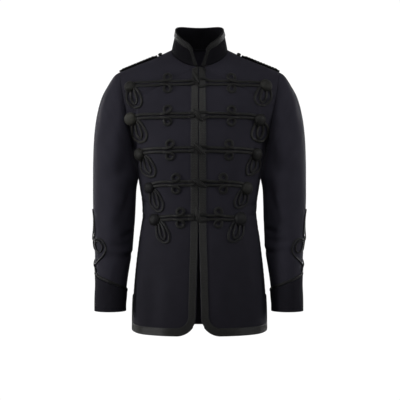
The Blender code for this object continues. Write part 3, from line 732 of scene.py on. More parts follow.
def even(rows, count):
    """The same rows with their points an even distance apart, and each row's length."""
    steps = np.linalg.norm(np.diff(rows, axis=1), axis=2)
    run = np.concatenate([np.zeros((len(rows), 1)), np.cumsum(steps, axis=1)], axis=1)
    result = np.empty((len(rows), count, 3))
    for i, row in enumerate(rows):
        marks = np.linspace(0, run[i, -1], count)
        for axis in range(3):
            result[i, :, axis] = np.interp(marks, run[i], row[:, axis])
    return result, run[:, -1]


def creases(creases_table, out, down):
    """Depth of the creases at a place: each is a soft bell across and along its own line.

    The line leans from level and bends as its length squared. A trough has a low ridge beside it.
    """
    depth = np.zeros_like(out)
    for at, height, lean, long, wide, deep, bend in zip(*creases_table.values()):
        turn = math.radians(lean)
        along = (out - at) * math.cos(turn) + (down - height) * math.sin(turn)
        across = (down - height) * math.cos(turn) - (out - at) * math.sin(turn) - bend * along**2
        bell = np.exp(-((across / wide) ** 2))
        ridge = np.exp(-(((across - 1.9 * wide) / (0.9 * wide)) ** 2))
        depth += deep * (bell - 0.3 * ridge) * np.exp(-((along / long) ** 2) - 0.3 * (along / long) ** 4)
    return depth


class Surface:
    """A fine grid of a surface, read at any level and at any share of a row."""

    def __init__(self, grid, levels, shares, outward, relief=0.0):
        self.levels = levels
        self.shares = shares
        self.outward = outward
        self.grid = grid
        self.normals = self.facing()
        self.grid = grid + np.asarray(relief)[..., None] * self.normals
        self.normals = self.facing()

    def facing(self):
        """The way out at each point of the grid."""
        across = unit(np.cross(np.gradient(self.grid, axis=0), np.gradient(self.grid, axis=1)))
        mean = np.sum(across * (self.grid - self.outward), axis=2).mean()
        return across * math.copysign(1, mean)

    def read(self, field, level, share):
        """A value of the grid between its points."""
        level = np.clip(level, self.levels[0], self.levels[-1])
        share = np.clip(share, self.shares[0], self.shares[-1])
        row = np.interp(level, self.levels, np.arange(len(self.levels)))
        column = np.interp(share, self.shares, np.arange(len(self.shares)))
        i = np.clip(row.astype(int), 0, len(self.levels) - 2)
        j = np.clip(column.astype(int), 0, len(self.shares) - 2)
        a = (row - i)[..., None]
        b = (column - j)[..., None]
        near = field[i, j] * (1 - b) + field[i, j + 1] * b
        far = field[i + 1, j] * (1 - b) + field[i + 1, j + 1] * b
        return near * (1 - a) + far * a

    def point(self, level, share, lift=0.0):
        """A point of the surface, moved out by lift."""
        lift = np.asarray(lift)[..., None]
        return self.read(self.grid, level, share) + lift * self.normal(level, share)

    def normal(self, level, share):
        """The way out at a point."""
        return unit(self.read(self.normals, level, share))

    def seat(self, targets, weights=(1, 0, 1)):
        """Level and share of the place nearest each target, seen from the front unless y counts too."""
        weights = np.array(weights, dtype=float)
        coarse = self.grid[::6, ::4]
        gaps = (((coarse.reshape(-1, 1, 3) - targets[None]) * weights) ** 2).sum(axis=2)
        i, j = np.unravel_index(np.argmin(gaps, axis=0), coarse.shape[:2])
        level = self.levels[::6][i]
        share = self.shares[::4][j]
        step = 0.004
        for _ in range(12):
            here = self.point(level, share)
            up = (self.point(level + step, share) - self.point(level - step, share)) / (2 * step)
            out = (self.point(level, share + step) - self.point(level, share - step)) / (2 * step)
            miss = (targets - here) * weights
            aa = (up * up * weights).sum(axis=1)
            bb = (out * out * weights).sum(axis=1)
            ab = (up * out * weights).sum(axis=1)
            ra = (up * miss).sum(axis=1)
            rb = (out * miss).sum(axis=1)
            det = np.maximum(aa * bb - ab * ab, 1e-9)
            level = np.clip(level + 0.8 * (bb * ra - ab * rb) / det, self.levels[0], self.levels[-1])
            share = np.clip(share + 0.8 * (aa * rb - ab * ra) / det, self.shares[0], self.shares[-1])
        return level, share


def panel_surface(side, face, crease_scale):
    """One front or half back as a fine surface with its creases, and the length of its rows.

    The relief is the sum of the creases, faded out by straight ramps at the side and the middle line.
    """
    levels = np.concatenate([np.linspace(0, 1, 181)[:-1], np.linspace(1, 2, 121)])
    grid, lengths = even(panel_rows(side, face, levels, np.linspace(0, 1, 181)), PANEL_COLUMNS)
    shares = np.linspace(0, 1, PANEL_COLUMNS)
    if face > 0:
        folds = CREASES_BACK
    else:
        folds = CREASES_LEFT if side > 0 else CREASES_RIGHT
    out = shares[None, :] * lengths[:, None]
    relief = crease_scale * creases(folds, out, grid[..., 2])
    if face > 0 and side < 0:
        across, down, less = OTHER_HALF
        relief = crease_scale * creases(folds, out * across, grid[..., 2] - down) * less
    relief *= np.clip((1 - shares) / (0.05 if face > 0 else 0.03), 0, 1)
    relief *= np.clip(out / CREASE_FADE, 0, 1)
    surface = Surface(grid, levels, shares, np.array([0.0, 0.0, -0.35]), relief)
    surface.lengths = lengths
    return surface


def joined(one, other):
    """Two mirrored surfaces as one, from share -1 to 1."""
    whole = Surface.__new__(Surface)
    whole.grid = np.concatenate([one.grid[:, ::-1], other.grid], axis=1)
    whole.normals = np.concatenate([one.normals[:, ::-1], other.normals], axis=1)
    whole.levels = other.levels
    whole.shares = np.concatenate([-one.shares[::-1], other.shares + 1e-6])
    return whole


def sleeve_surface(side, crease_scale):
    """One sleeve as a fine surface: levels are rows of its table, shares are turns.

    Where it rests on the body, it bulges by REST_DEPTH * exp(-(drop / width) squared) *
    ((1 - cos turn) / 2) to the fourth, most at the turn that faces the body.  Below the elbow
    it swings inwards by ease(drop / run) * a mix of the inner and outer shift."""
    levels = np.linspace(0, len(SLEEVE["out_x"]) - 1, 209)
    turns = np.linspace(-math.pi, math.pi, 145)
    grid = sleeve_ring(levels[:, None], turns[None, :])
    grid[..., 0] += SEAM
    middle = grid.mean(axis=1, keepdims=True)
    down = run_along(middle[:, 0])
    folds = dict(CREASES_SLEEVE)
    folds["turn"] = folds["turn"] * ARM_RADIUS
    folds["down"] = -folds["down"] - (0.0 if side > 0 else SLEEVE_SHIFT)
    relief = np.zeros(grid.shape[:2])
    for wrap in (-2 * math.pi, 0.0, 2 * math.pi):
        relief += creases(folds, *np.broadcast_arrays((turns[None, :] + wrap) * ARM_RADIUS, -down[:, None]))
    fade = np.clip(down / CREASE_FADE, 0, 1) * np.clip((down[-1] - down) / CUFF_FADE, 0, 1)
    relief *= crease_scale * fade[:, None]
    below = grid[..., 2] - REST_HEIGHT
    rest = REST_DEPTH * np.exp(-((below / np.where(below > 0, REST_ABOVE, REST_BELOW)) ** 2))
    relief += rest * ((1 - np.cos(turns[None, :])) / 2) ** 4
    inner, outer = FOREARM_IN[side]
    bent = ease((FOREARM_TOP - grid[..., 2]) / FOREARM_RUN)
    moved = bent * (inner + (outer - inner) * (1 + np.cos(turns[None, :])) / 2)
    grid[..., 0] -= moved
    middle[..., 0] -= moved.mean(axis=1)[:, None]
    flip = np.array([side, 1, 1])
    return Surface(grid * flip, levels, turns, middle * flip, relief)


def collar_surface():
    """The stand collar, level 0 at the neck seam and 1 at its top, share 0 at the nape.

    Straight lines join the neck's oval to the smaller oval of the top, and a wave of five to the
    round swells between them.
    """
    levels = np.linspace(-0.08, 1, 28)[:, None]
    turns = np.linspace(-math.pi, math.pi, 241)[None, :]
    base = neck(turns + math.pi) * np.array([-1, 1, 1])
    base[..., 2] += 3 * SEAM
    top = points(
        COLLAR_TOP_WIDTH * np.sin(turns),
        COLLAR_TOP_MIDDLE + COLLAR_TOP_DEPTH * np.cos(turns),
        base[..., 2] + COLLAR_HEIGHT,
    )
    grid = base + (top - base) * levels[..., None]
    relief = COLLAR_WAVE * np.sin(np.maximum(levels, 0) * math.pi) * np.sin(5 * turns + 0.6)
    relief = relief - COLLAR_FOOT * np.clip(-levels / 0.05, 0, 1)
    return Surface(grid, levels[:, 0], turns[0], grid.mean(axis=1, keepdims=True), relief)


def rounded(along, up, radius):
    """Round a flat strip's corner at (0, 0): the line at distance d from the edge turns on radius - d."""
    inset = np.minimum(along, up)
    run = np.maximum(along, up) - inset
    reach = np.maximum(radius - inset, 1e-9)
    bend = math.pi / 4 * (1 - run / reach)
    near = radius - reach * np.cos(bend)
    far = radius - reach * np.sin(bend)
    inside = (inset < radius) & (run < reach)
    first = np.where(along <= up, near, far)
    second = np.where(along <= up, far, near)
    return np.where(inside, first, along), np.where(inside, second, up)


def row_at_height(height):
    """The row of the sleeve's table whose middle is at a height."""
    middle = (SLEEVE["out_z"] + SLEEVE["in_z"]) / 2
    return np.interp(-height, -middle, np.arange(len(middle)))


def cuff_top(turn):
    """Height of the cuff's top edge, which comes to a point on the outside of the sleeve."""
    away = np.abs((turn - KNOT_TURN + math.pi) % (2 * math.pi) - math.pi) / math.pi
    return SLEEVE["out_z"][-1] + CUFF_OUTER + (CUFF_INNER - CUFF_OUTER) * away


def spline(line, times, closed):
    """A line with new points between its own, on a smooth cubic curve through them.

    At each point the curve's slope is half the step from the point before to the point after.
    """
    if closed:
        before, after, beyond = np.roll(line, 1, 0), np.roll(line, -1, 0), np.roll(line, -2, 0)
    else:
        wide = np.concatenate([2 * line[:1] - line[1:2], line, 2 * line[-1:] - line[-2:-1]])
        before, line, after, beyond = wide[:-3], wide[1:-2], wide[2:-1], wide[3:]
    result = []
    for t in np.arange(times) / times:
        straight = 2 * line + (after - before) * t
        square = (2 * before - 5 * line + 4 * after - beyond) * t**2
        cube = (3 * line - before - 3 * after + beyond) * t**3
        result.append((straight + square + cube) / 2)
    dense = np.stack(result, axis=1).reshape(-1, line.shape[1])
    return dense if closed else np.concatenate([dense, after[-1:]])


def evenly(line, step, closed):
    """The same line with its points an even step apart, the first two or three columns measured."""
    whole = np.concatenate([line, line[:1]]) if closed else line
    run = run_along(whole[:, :2])
    count = max(int(run[-1] / step), 4)
    marks = np.linspace(0, run[-1], count, endpoint=not closed)
    return np.stack([np.interp(marks, run, whole[:, k]) for k in range(whole.shape[1])], axis=1)


def soften(path, times, closed):
    """The same path with its small kinks smoothed away; an open path keeps its ends."""
    for _ in range(times):
        mean = (np.roll(path, 1, axis=0) + 2 * path + np.roll(path, -1, axis=0)) / 4
        if not closed:
            mean[[0, -1]] = path[[0, -1]]
        path = mean
    return path


def tangent_frame(surface, level, share, side):
    """A place's point, its normal, the way towards the middle line, and the way down."""
    point = surface.point(level, share)
    normal = surface.normal(level, share)
    down = np.array([0.0, 0.0, -1.0]) - normal * -normal[2]
    down = down / np.linalg.norm(down)
    inward = np.cross(down, normal)
    inward = inward * -math.copysign(1, inward[0] * side)
    return point, normal, inward, down


# Meshes


class Shape:
    """Points and faces of one piece, with each corner's place on the flat cut in metres."""

    def __init__(self):
        self.places = []
        self.faces = []
        self.cuts = []
        self.count = 0
        self.mark = 0

    def add(self, grid):
        """Add points and give their numbers in the same layout."""
        numbers = np.arange(grid[..., 0].size).reshape(grid.shape[:-1]) + self.count
        self.places.append(grid.reshape(-1, 3))
        self.count += numbers.size
        return numbers

    def weave(self, numbers, cut):
        """Quads over a grid of numbers."""
        for store, grid, tail in ((self.faces, numbers, ()), (self.cuts, cut, (2,))):
            four = (grid[:-1, :-1], grid[:-1, 1:], grid[1:, 1:], grid[1:, :-1])
            store.append(np.stack(four, axis=2).reshape(-1, 4, *tail))

    def face(self, numbers, cut):
        """One flat face with many corners."""
        self.faces.append(numbers[None])
        self.cuts.append(cut[None])

    def close(self):
        """End a closed part, and turn its faces outwards."""
        places = np.concatenate(self.places)
        volume = 0.0
        for faces in self.faces[self.mark:]:
            corner = places[faces]
            for k in range(1, faces.shape[1] - 1):
                volume += np.einsum("ij,ij->", corner[:, 0], np.cross(corner[:, k], corner[:, k + 1]))
        if volume < 0:
            for i in range(self.mark, len(self.faces)):
                self.faces[i] = self.faces[i][:, ::-1]
                self.cuts[i] = self.cuts[i][:, ::-1]
        self.mark = len(self.faces)

    def sheet(self, outer, inner, grids, loops):
        """A wall of cloth between outer and inner points, with a rounded rim round each free edge.

        Grids pair numbers of the points with their cut. Loops pair an edge's numbers with those beside it.
        """
        top, low = self.add(outer), self.add(inner)
        for index, cut in grids:
            self.weave(top[index], cut)
            self.weave(low[index][:, ::-1], cut[:, ::-1])
        for edge, near in loops:
            thick = np.linalg.norm(outer[edge] - inner[edge], axis=1, keepdims=True)
            middle = (outer[edge] + inner[edge]) / 2 + unit(outer[edge] - outer[near]) * thick * 0.25
            ring = self.add(middle[:-1])
            ring = np.append(ring, ring[0])
            run = run_along(middle)
            cut = np.stack([np.stack([run, run * 0 + rise], axis=-1) for rise in (0.0, 0.001, 0.002)])
            self.weave(np.stack([low[edge], ring, top[edge]]), cut)
        self.close()

    def sweep(self, rings, run, closed):
        """A closed section carried along a line: rings of points, and the run at each."""
        numbers = self.add(rings)
        middle = rings[len(rings) // 2]
        around = run_along(np.append(middle, middle[:1], axis=0))
        numbers = np.concatenate([numbers, numbers[:, :1]], axis=1)
        if closed:
            numbers = np.concatenate([numbers, numbers[:1]])
            run = np.append(run, run[-1] + run[1] - run[0])
        cut = np.stack(np.broadcast_arrays(run[:, None], around[None, :]), axis=-1)
        self.weave(numbers, cut)
        if not closed:
            self.face(numbers[0, -2::-1], cut[0, -2::-1])
            self.face(numbers[-1, :-1], cut[-1, :-1])
        self.close()

    def tube(self, path, ups, width, height, closed, pitch=PLAIT_PITCH, relief=PLAIT_RELIEF,
             sides=CORD_SIDES):
        """A plaited cord on its path, flat below: two sets of ridges cross on its round.

        The section is half the width * |cosine| to the power 0.85, and half the height * the sine.
        """
        along = np.roll(path, -1, 0) - np.roll(path, 1, 0) if closed else np.gradient(path, axis=0)
        across = unit(np.cross(along, ups))
        ups = unit(np.cross(across, along))
        run = run_along(path)
        if closed:
            length = run[-1] + np.linalg.norm(path[0] - path[-1])
            pitch = length / max(round(length / pitch), 1)
        turn = (np.arange(sides) + 0.5) * 2 * math.pi / sides
        phase = 2 * math.pi * run[:, None] / pitch
        swell = relief * (ribs(2 * turn, phase) - 0.4)
        wide = (width / 2 + swell) * np.sign(np.cos(turn)) * np.abs(np.cos(turn)) ** 0.85
        high = (height / 2 + swell) * np.sin(turn) + height / 2
        high = np.maximum(high, 0.0)
        if not closed:
            taper = np.minimum(1, np.sqrt(np.minimum(run, run[-1] - run)[:, None] / 0.002) + 0.35)
            wide = wide * taper
            high = height / 2 + (high - height / 2) * taper
        rings = path[:, None] + across[:, None] * wide[..., None] + ups[:, None] * high[..., None]
        self.sweep(rings, run, closed)

    def turned(self, base, axis, side_way, profile, relief):
        """A round solid on an axis: profile rows of radius and rise, with a relief per row and turn.

        A point lies at base + axis * rise + the turned way * radius, moved out by the relief.
        """
        other = np.cross(axis, side_way)
        turn = ring_turns(relief.shape[1])
        radius = profile[:, 0:1] + relief * profile[:, 2:3]
        rise = profile[:, 1:2] + relief * profile[:, 3:4]
        ring = np.cos(turn)[:, None] * side_way + np.sin(turn)[:, None] * other
        rings = base + axis * rise[..., None] + ring[None] * radius[..., None]
        run = run_along(profile[:, :2])
        self.sweep(rings, run, False)

    def build(self, name, finish):
        """The piece as an object with its material."""
        mesh = bpy.data.meshes.new(name)
        loops = np.concatenate([faces.ravel() for faces in self.faces])
        totals = np.concatenate([np.full(len(faces), faces.shape[1]) for faces in self.faces])
        starts = np.concatenate([[0], np.cumsum(totals)[:-1]])
        mesh.vertices.add(self.count)
        mesh.vertices.foreach_set("co", np.concatenate(self.places).ravel())
        mesh.loops.add(len(loops))
        mesh.loops.foreach_set("vertex_index", loops.astype(np.int32))
        mesh.polygons.add(len(totals))
        mesh.polygons.foreach_set("loop_start", starts.astype(np.int32))
        mesh.update(calc_edges=True)
        cut = mesh.uv_layers.new(name="Weave")
        cut.data.foreach_set("uv", np.concatenate([part.ravel() for part in self.cuts]).astype(np.float32))
        mesh.shade_smooth()
        mesh.materials.append(finish)
        item = bpy.data.objects.new(name, mesh)
        bpy.context.scene.collection.objects.link(item)
        return item


def put(shape, name, finish, slot, *nodes):
    """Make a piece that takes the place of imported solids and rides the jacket."""
    item = shape.build(name, finish_of(finish))
    for node in nodes:
        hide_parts(node)
    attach(item, BODY)


def lay(shape, surface, level, share, lift, width, height, closed, times=0, **plait):
    """Lay a cord on a surface, at a lift above it, with its line softened a few times."""
    path = soften(surface.point(level, share, lift), times, closed)
    shape.tube(path, surface.normal(level, share), width, height, closed, **plait)


def put_cloth(outer, inner, index, cut, loops, *labels):
    """Make one panel of cloth between its outer and inner points."""
    shape = Shape()
    shape.sheet(outer.reshape(-1, 3), inner.reshape(-1, 3), [(index, cut)], loops)
    put(shape, *labels)


def numbered(grid, closed=False):
    """Numbers for the points of a grid; a closed one comes back to its first column."""
    index = np.arange(grid.size).reshape(grid.shape)
    return np.concatenate([index, index[:, :1]], axis=1) if closed else index


def flat_loop(index):
    """The edge of a grid of numbers all round, and the numbers beside it."""
    edge = np.concatenate([index[0], index[1:, -1], index[-1, -2::-1], index[-2::-1, 0]])
    near = np.concatenate([index[1], index[1:, -2], index[-2, -2::-1], index[-2::-1, 1]])
    return [(edge, near)]


def round_loops(index):
    """The two open ends of a grid that goes round a tube."""
    return [(index[0], index[1]), (index[-1, ::-1], index[-2, ::-1])]


# Cloth


def panel_places(surface, face, hem):
    """Level, share and flat cut of a panel's grid lines, which turn with its rounded corners.

    The lines are close together near the hem and the side, where the edge and the seam bend.
    """
    tall = UNDERARM - hem
    ups = np.concatenate([np.linspace(0, HEM_BAND, 27)[:-1], np.linspace(HEM_BAND, tall, 92)])
    level = np.concatenate([ups / tall, 1 + np.linspace(0, 1, 81)[1:]])[:, None]
    length = np.interp(level, surface.levels, surface.lengths)
    start = np.linspace(0, FRONT_BAND, 16) if face < 0 else np.array([0.0])
    share = np.linspace(0, 1, 44 if face < 0 else 58)[1:-1]
    middle = start[-1] + (length - FROM_SIDE[0] - start[-1]) * share
    along = np.concatenate([start + 0 * length, middle, length - FROM_SIDE], axis=1)
    up = np.minimum(level, 1) * tall + 0 * along
    side_along, side_up = rounded(length - along, up, CORNER_SLIT)
    front_along, front_up = rounded(along, up, CORNER_FRONT) if face < 0 else (along, up)
    near_side = length - along < length / 2
    new_level = np.where(level > 1, level, np.where(near_side, side_up, front_up) / tall)
    new_length = np.interp(new_level, surface.levels, surface.lengths)
    share = np.where(near_side, 1 - side_along / new_length, front_along / new_length)
    share = np.where(level > 1, along / length, share)
    rise = np.where(new_level > 1, tall + (new_level - 1) * YOKE, new_level * tall)
    return new_level, share, np.stack([share * new_length, rise], axis=-1)


def panel_walls(surface, levels, shares, hem):
    """A panel's outer and inner points, a little sunk along its seams and square where it meets a panel.

    Each groove is exp(-(distance / width) squared), and a fine sine puckers the cloth beside the side seam.
    """
    length = np.interp(levels, surface.levels, surface.lengths)
    tall = UNDERARM - hem
    sewn = np.clip((levels * tall - SLIT) / 0.01, 0, 1)
    groove = sewn * np.exp(-(((1 - shares) * length / 0.0026) ** 2))
    groove = np.maximum(groove, np.exp(-(((2 - levels) * SEAM_RUN / 0.0030) ** 2)))
    near_seam = sewn * np.exp(-(((1 - shares) * length / 0.012) ** 2))
    outer = surface.point(levels, shares, PUCKER * np.sin(levels * 210) * near_seam - SEAM_SINK * groove)
    inner = surface.point(levels, shares, -CLOTH)
    inner[-1, :, 1] = surface.point(levels[-1], shares[-1])[:, 1]
    return outer, inner


def build_front(side, surface):
    """One front: a sheet on the panel's surface, a little sunk along its seams."""
    levels, shares, cut = panel_places(surface, -1, HEM_FRONT)
    index = numbered(levels)
    put_cloth(*panel_walls(surface, levels, shares, HEM_FRONT), index, cut, flat_loop(index),
              "front_cloth_" + hand(side), "wool", "wool", "front_" + hand(side))


def build_back(left, right):
    """The back: two mirrored sheets that share their middle line up to the nape."""
    levels, shares, cut = panel_places(left, 1, HEM_BACK)
    walls = [panel_walls(half, levels, shares, HEM_BACK) for half in (left, right)]
    outer, inner = [np.concatenate([walls[0][k].reshape(-1, 3), walls[1][k].reshape(-1, 3)]) for k in (0, 1)]
    one = numbered(levels)
    other = one + levels.size
    nape = int(np.searchsorted(levels[:, -1], 1.5 - 1e-6))
    other[:nape + 1, 0] = one[:nape + 1, 0]
    edge, near = [
        np.concatenate([
            one[0 + k], one[1:, -1 - k], one[-1 - k, -2::-1], one[-2:nape - 1:-1, k],
            other[nape + 1:, k], other[-1 - k, 1:], other[-2::-1, -1 - k], other[k, -2::-1],
        ])
        for k in (0, 1)
    ]
    mirrored = cut * np.array([-1, 1])
    shape = Shape()
    grids = [(one, cut), (other[:, ::-1], mirrored[:, ::-1])]
    shape.sheet(outer, inner, grids, [(edge, near)])
    put(shape, "back_cloth", "wool", "wool", "back")


def build_sleeve(side, surface):
    """One sleeve: a tube of cloth on its surface."""
    level = np.linspace(surface.levels[0], surface.levels[-1], 152)[:, None]
    turns = np.linspace(-math.pi, math.pi, 105)
    levels, shares = np.broadcast_arrays(level, turns[None, :-1])
    index = numbered(levels, True)
    cut = np.stack(np.broadcast_arrays(turns[None, :] * ARM_RADIUS, -level * SLEEVE_ROW), axis=-1)
    # The sleeves take the wool painted lighter, as painted light
    put_cloth(surface.point(levels, shares), surface.point(levels, shares, -CLOTH), index, cut,
              round_loops(index), "sleeve_cloth_" + hand(side), "sleeve wool painted lighter", "wool", "sleeve_" + hand(side))


def build_cuff(side, surface):
    """A pointed velvet cuff round the end of the sleeve, with a slight wave across and up it."""
    turns = np.linspace(-math.pi, math.pi, 105)
    part = np.linspace(0, 1, 25)[:, None]
    bottom = SLEEVE["out_z"][-1]
    heights = bottom + (cuff_top(turns)[None, :] - bottom) * part
    levels = row_at_height(heights)
    shares = np.broadcast_to(turns, levels.shape)
    wave = CUFF_WAVE * np.sin(3 * shares + 5 * part) * np.sin(part * math.pi)
    high = surface.point(levels, shares, LAY + COLLAR_CLOTH + wave)[:, :-1]
    low = surface.point(levels, shares, LAY)[:, :-1]
    index = numbered(levels[:, :-1], True)
    cut = np.stack(np.broadcast_arrays(turns[None, :] * WRIST_RADIUS, heights), axis=-1)
    # The cuffs take the velvet painted lighter, as painted light
    put_cloth(high, low, index, cut, round_loops(index),
              "cuff_cloth_" + hand(side), "cuff velvet painted lighter", "velvet", "cuff_" + hand(side))


def collar_run(surface):
    """Run along the collar's lower edge at each turn."""
    turns = np.linspace(-math.pi, math.pi, 241)
    base = surface.point(np.zeros_like(turns), turns)
    return turns, run_along(base)


def collar_places(surface, along, down):
    """Level and share of a place on the collar, along from its front edge and down from its top."""
    turns, run = collar_run(surface)
    half = run[-1] / 2
    height = COLLAR_HEIGHT - down
    fade = np.clip(1 - along / half, 0, 1) ** 2
    along = np.maximum(along, COLLAR_OPEN) + COLLAR_SLANT * height * fade
    return height / COLLAR_HEIGHT, np.interp(half - along, run - half, turns)


def build_collar(surface):
    """The stand collar, open in a V at the front with rounded ends."""
    half = collar_run(surface)[1][-1] / 2
    alongs = np.concatenate([np.linspace(0, 0.034, 18)[:-1], np.linspace(0.034, half, 44)])
    down, along = np.meshgrid(np.linspace(0, COLLAR_HEIGHT + COLLAR_FOOT, 28), alongs, indexing="ij")
    level, share = collar_places(surface, *rounded(along, down, COLLAR_CORNER))
    cut = np.stack([along, -down], axis=-1)
    level = np.concatenate([level, level[:, -2::-1]], axis=1)
    share = np.concatenate([share, -share[:, -2::-1]], axis=1)
    cut = np.concatenate([cut, cut[:, -2::-1] * np.array([-1, 1]) + np.array([2 * half, 0])], axis=1)
    index = numbered(level)
    put_cloth(surface.point(level, share), surface.point(level, share, -COLLAR_CLOTH), index, cut,
              flat_loop(index), "collar_cloth", "velvet", "velvet", "collar")


# Braid


def band(shape, place, width, gap=0.0):
    """A flat braid along an edge: its section follows the line, and hooks over the cloth's edge.

    Where there is a gap, it stops that far short of the edge instead.
    """
    scale = width / BRAID
    inside = BRAID_SECTION["inside"]
    inside = np.where(inside > 0, inside * scale, inside)
    rings = place(np.maximum(inside, 0), BRAID_SECTION["high"])
    edge = place(np.zeros(1), np.zeros(1))[:, 0]
    within = place(np.full(1, 0.003), np.zeros(1))[:, 0]
    over = unit(edge - within)
    gap = np.broadcast_to(gap, len(edge))[:, None]
    hook = np.where(gap > 0, -gap * (inside < 0.002), np.maximum(-inside, 0))
    rings = rings + over[:, None] * hook[..., None]
    run = run_along(edge)
    shape.sweep(rings, run, False)


def edge_places(surface, face, hem, inside):
    """Level and share of the lines a distance inside a panel's edge: front edge, hem, slit.

    Each corner is a quarter circle whose radius shrinks by the distance inside.
    """
    tall = UNDERARM - hem
    inside = inside[None, :]

    def length(level):
        return np.interp(level, surface.levels, surface.lengths)

    turn = np.linspace(0, math.pi / 2, 30)[1:-1, None]
    parts = []
    start = 0.0
    if face < 0:
        level = np.linspace(1.5 - BELOW_COLLAR, CORNER_FRONT / tall, EDGE_ROWS)[:, None] + 0 * inside
        parts.append((level, inside / length(level)))
        reach = CORNER_FRONT - inside
        level = (CORNER_FRONT - reach * np.sin(turn)) / tall
        parts.append((level, (CORNER_FRONT - reach * np.cos(turn)) / length(level)))
        start = CORNER_FRONT
    part = np.linspace(0, 1, 70)[:, None]
    level = inside / tall + 0 * part
    row = length(level)
    parts.append((level, (start + (row - start - CORNER_SLIT) * part) / row))
    reach = CORNER_SLIT - inside
    level = (CORNER_SLIT - reach * np.cos(turn)) / tall
    parts.append((level, 1 - (CORNER_SLIT - reach * np.sin(turn)) / length(level)))
    level = np.linspace(CORNER_SLIT, SLIT, 26)[:, None] / tall + 0 * inside
    parts.append((level, 1 - inside / length(level)))
    return [np.concatenate([part[k] for part in parts]) for k in (0, 1)]


def collar_line(collar, inside, high):
    """Points of the line a distance inside the collar's edge, from front to front over the nape.

    It goes up the front edge, round the quarter circle of the corner and along the top.
    """
    half = collar_run(collar)[1][-1] / 2
    inside = inside[None, :]
    turn = np.linspace(0, math.pi / 2, 20)[1:-1, None]
    down = np.linspace(COLLAR_HEIGHT, COLLAR_CORNER, 16)[:, None] + 0 * inside
    reach = COLLAR_CORNER - inside
    along = np.linspace(COLLAR_CORNER, half, 60)[:, None] + 0 * inside
    parts = [
        (inside + 0 * down, down),
        (COLLAR_CORNER - reach * np.cos(turn), COLLAR_CORNER - reach * np.sin(turn)),
        (along, inside + 0 * along),
    ]
    along, down = [np.concatenate([part[k] for part in parts]) for k in (0, 1)]
    level, share = collar_places(collar, along, down)
    level = np.concatenate([level, level[-2::-1]])
    share = np.concatenate([share, -share[-2::-1]])
    return collar.point(level, share, high[None, :])


def add_thread(shape, front):
    """The small twisted loop below the collar, a figure of eight.

    It is the sine of twice the turn across and the cosine of the turn down.
    """
    turn = np.linspace(0, 2 * math.pi, 90)[:-1]
    across = THREAD_X + THREAD_HALF_WIDTH * np.sin(2 * turn) * (1 + 0.25 * np.cos(turn))
    height = THREAD_Z + THREAD_HALF_HEIGHT * np.cos(turn)
    level, share = front.seat(points(across, 0 * across, height))
    over = 0.0028 + 0.0009 * (np.cos(turn) > 0) * np.abs(np.sin(turn))
    lay(shape, front, level, share, over, THREAD, THREAD_HEIGHT, True, 2,
        pitch=THREAD_PITCH, relief=THREAD_RELIEF, sides=THREAD_SIDES)


def build_braids(fronts, backs, collar):
    """The flat braid of both fronts, the back and the collar, which carries a small twisted loop."""

    def panel_line(surface, face, hem, inside, high):
        return surface.point(*edge_places(surface, face, hem, inside), high[None, :])

    for side in (1, -1):
        def on_front(inside, high):
            return panel_line(fronts[side], -1, HEM_FRONT, inside, high)

        shape = Shape()
        rows = len(on_front(np.zeros(1), np.zeros(1)))
        band(shape, on_front, BRAID, np.where(np.arange(rows) < EDGE_ROWS + 10, CENTRE_GAP, 0.0))
        put(shape, "braid_front_" + hand(side), "braid", "braid", "front_braid_" + hand(side))

    def on_back(inside, high):
        one, other = [panel_line(backs[side], 1, HEM_BACK, inside, high) for side in (1, -1)]
        return np.concatenate([other[:0:-1], one])

    shape = Shape()
    band(shape, on_back, BRAID)
    put(shape, "braid_back", "braid", "braid", "back_braid")
    shape = Shape()
    band(shape, lambda inside, high: collar_line(collar, inside, high), COLLAR_BRAID)
    add_thread(shape, fronts[1])
    # The collar's braid is painted darker, as painted shade
    put(shape, "braid_collar", "collar braid painted darker", "braid", "collar_braid")


# Frogging


def frog_name(kind, side, i):
    """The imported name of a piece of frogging."""
    return f"{kind}_{hand(side)}_{i + 1}"


def row_route(side, i, end):
    """The closed route of a row's cord: distance out, distance off the middle line, and lift.

    It goes along the upper cord with its eye, round the loop or the end at the front edge, back
    along the lower cord and round under the cap.
    """
    half, reach, eye_x = CORD_SPACING / 2, EYE_RADIUS, FROGS["eye_x"][i]
    start = [(x, half, 0.0) for x in np.linspace(end, eye_x + 2.7 * reach, 5)]
    curl = [
        (eye_x - a * reach, half + b * reach, lift)
        for a, b, lift in zip(CURL["in_"], CURL["out"], CURL["lift"])
    ]
    upper = start + curl + [((curl[-1][0] + ROW_TURN) / 2, half, 0.0), (ROW_TURN, half, 0.0)]
    lower = [(x, -away, lift) for x, away, lift in reversed(upper)]
    if side > 0:
        up, down = LOOPS["up"][i], LOOPS["down"][i]
        tip = [
            (ROW_JOIN, half + 0.0003), (0.0145, (half + up) / 2 + 0.0012), (0.006, up), (-0.001, up * 0.92),
            (-0.0052, up * 0.45), (-0.0060, (up - down) / 4), (-0.0052, -down * 0.5), (-0.001, -down * 0.93),
            (0.006, -down), (0.0145, -(half + down) / 2 - 0.0010), (ROW_JOIN, -half - 0.0003),
        ]
    else:
        stop = ROW_END_RIGHT
        tip = [
            (ROW_JOIN, half), (stop, half * 0.98), (stop - 0.0036, half * 0.55), (stop - 0.0046, 0.0),
            (stop - 0.0036, -half * 0.55), (stop, -half * 0.98), (ROW_JOIN, -half),
        ]
    tail = [(end + half * 0.8, -half * 0.6), (end + half, 0.0), (end + half * 0.8, half * 0.6)]
    flat, last = [[(x, away, 0.0) for x, away in part] for part in (tip, tail)]
    return evenly(spline(np.array(upper + flat + lower + last), 10, True), CORD_STEP, True).T


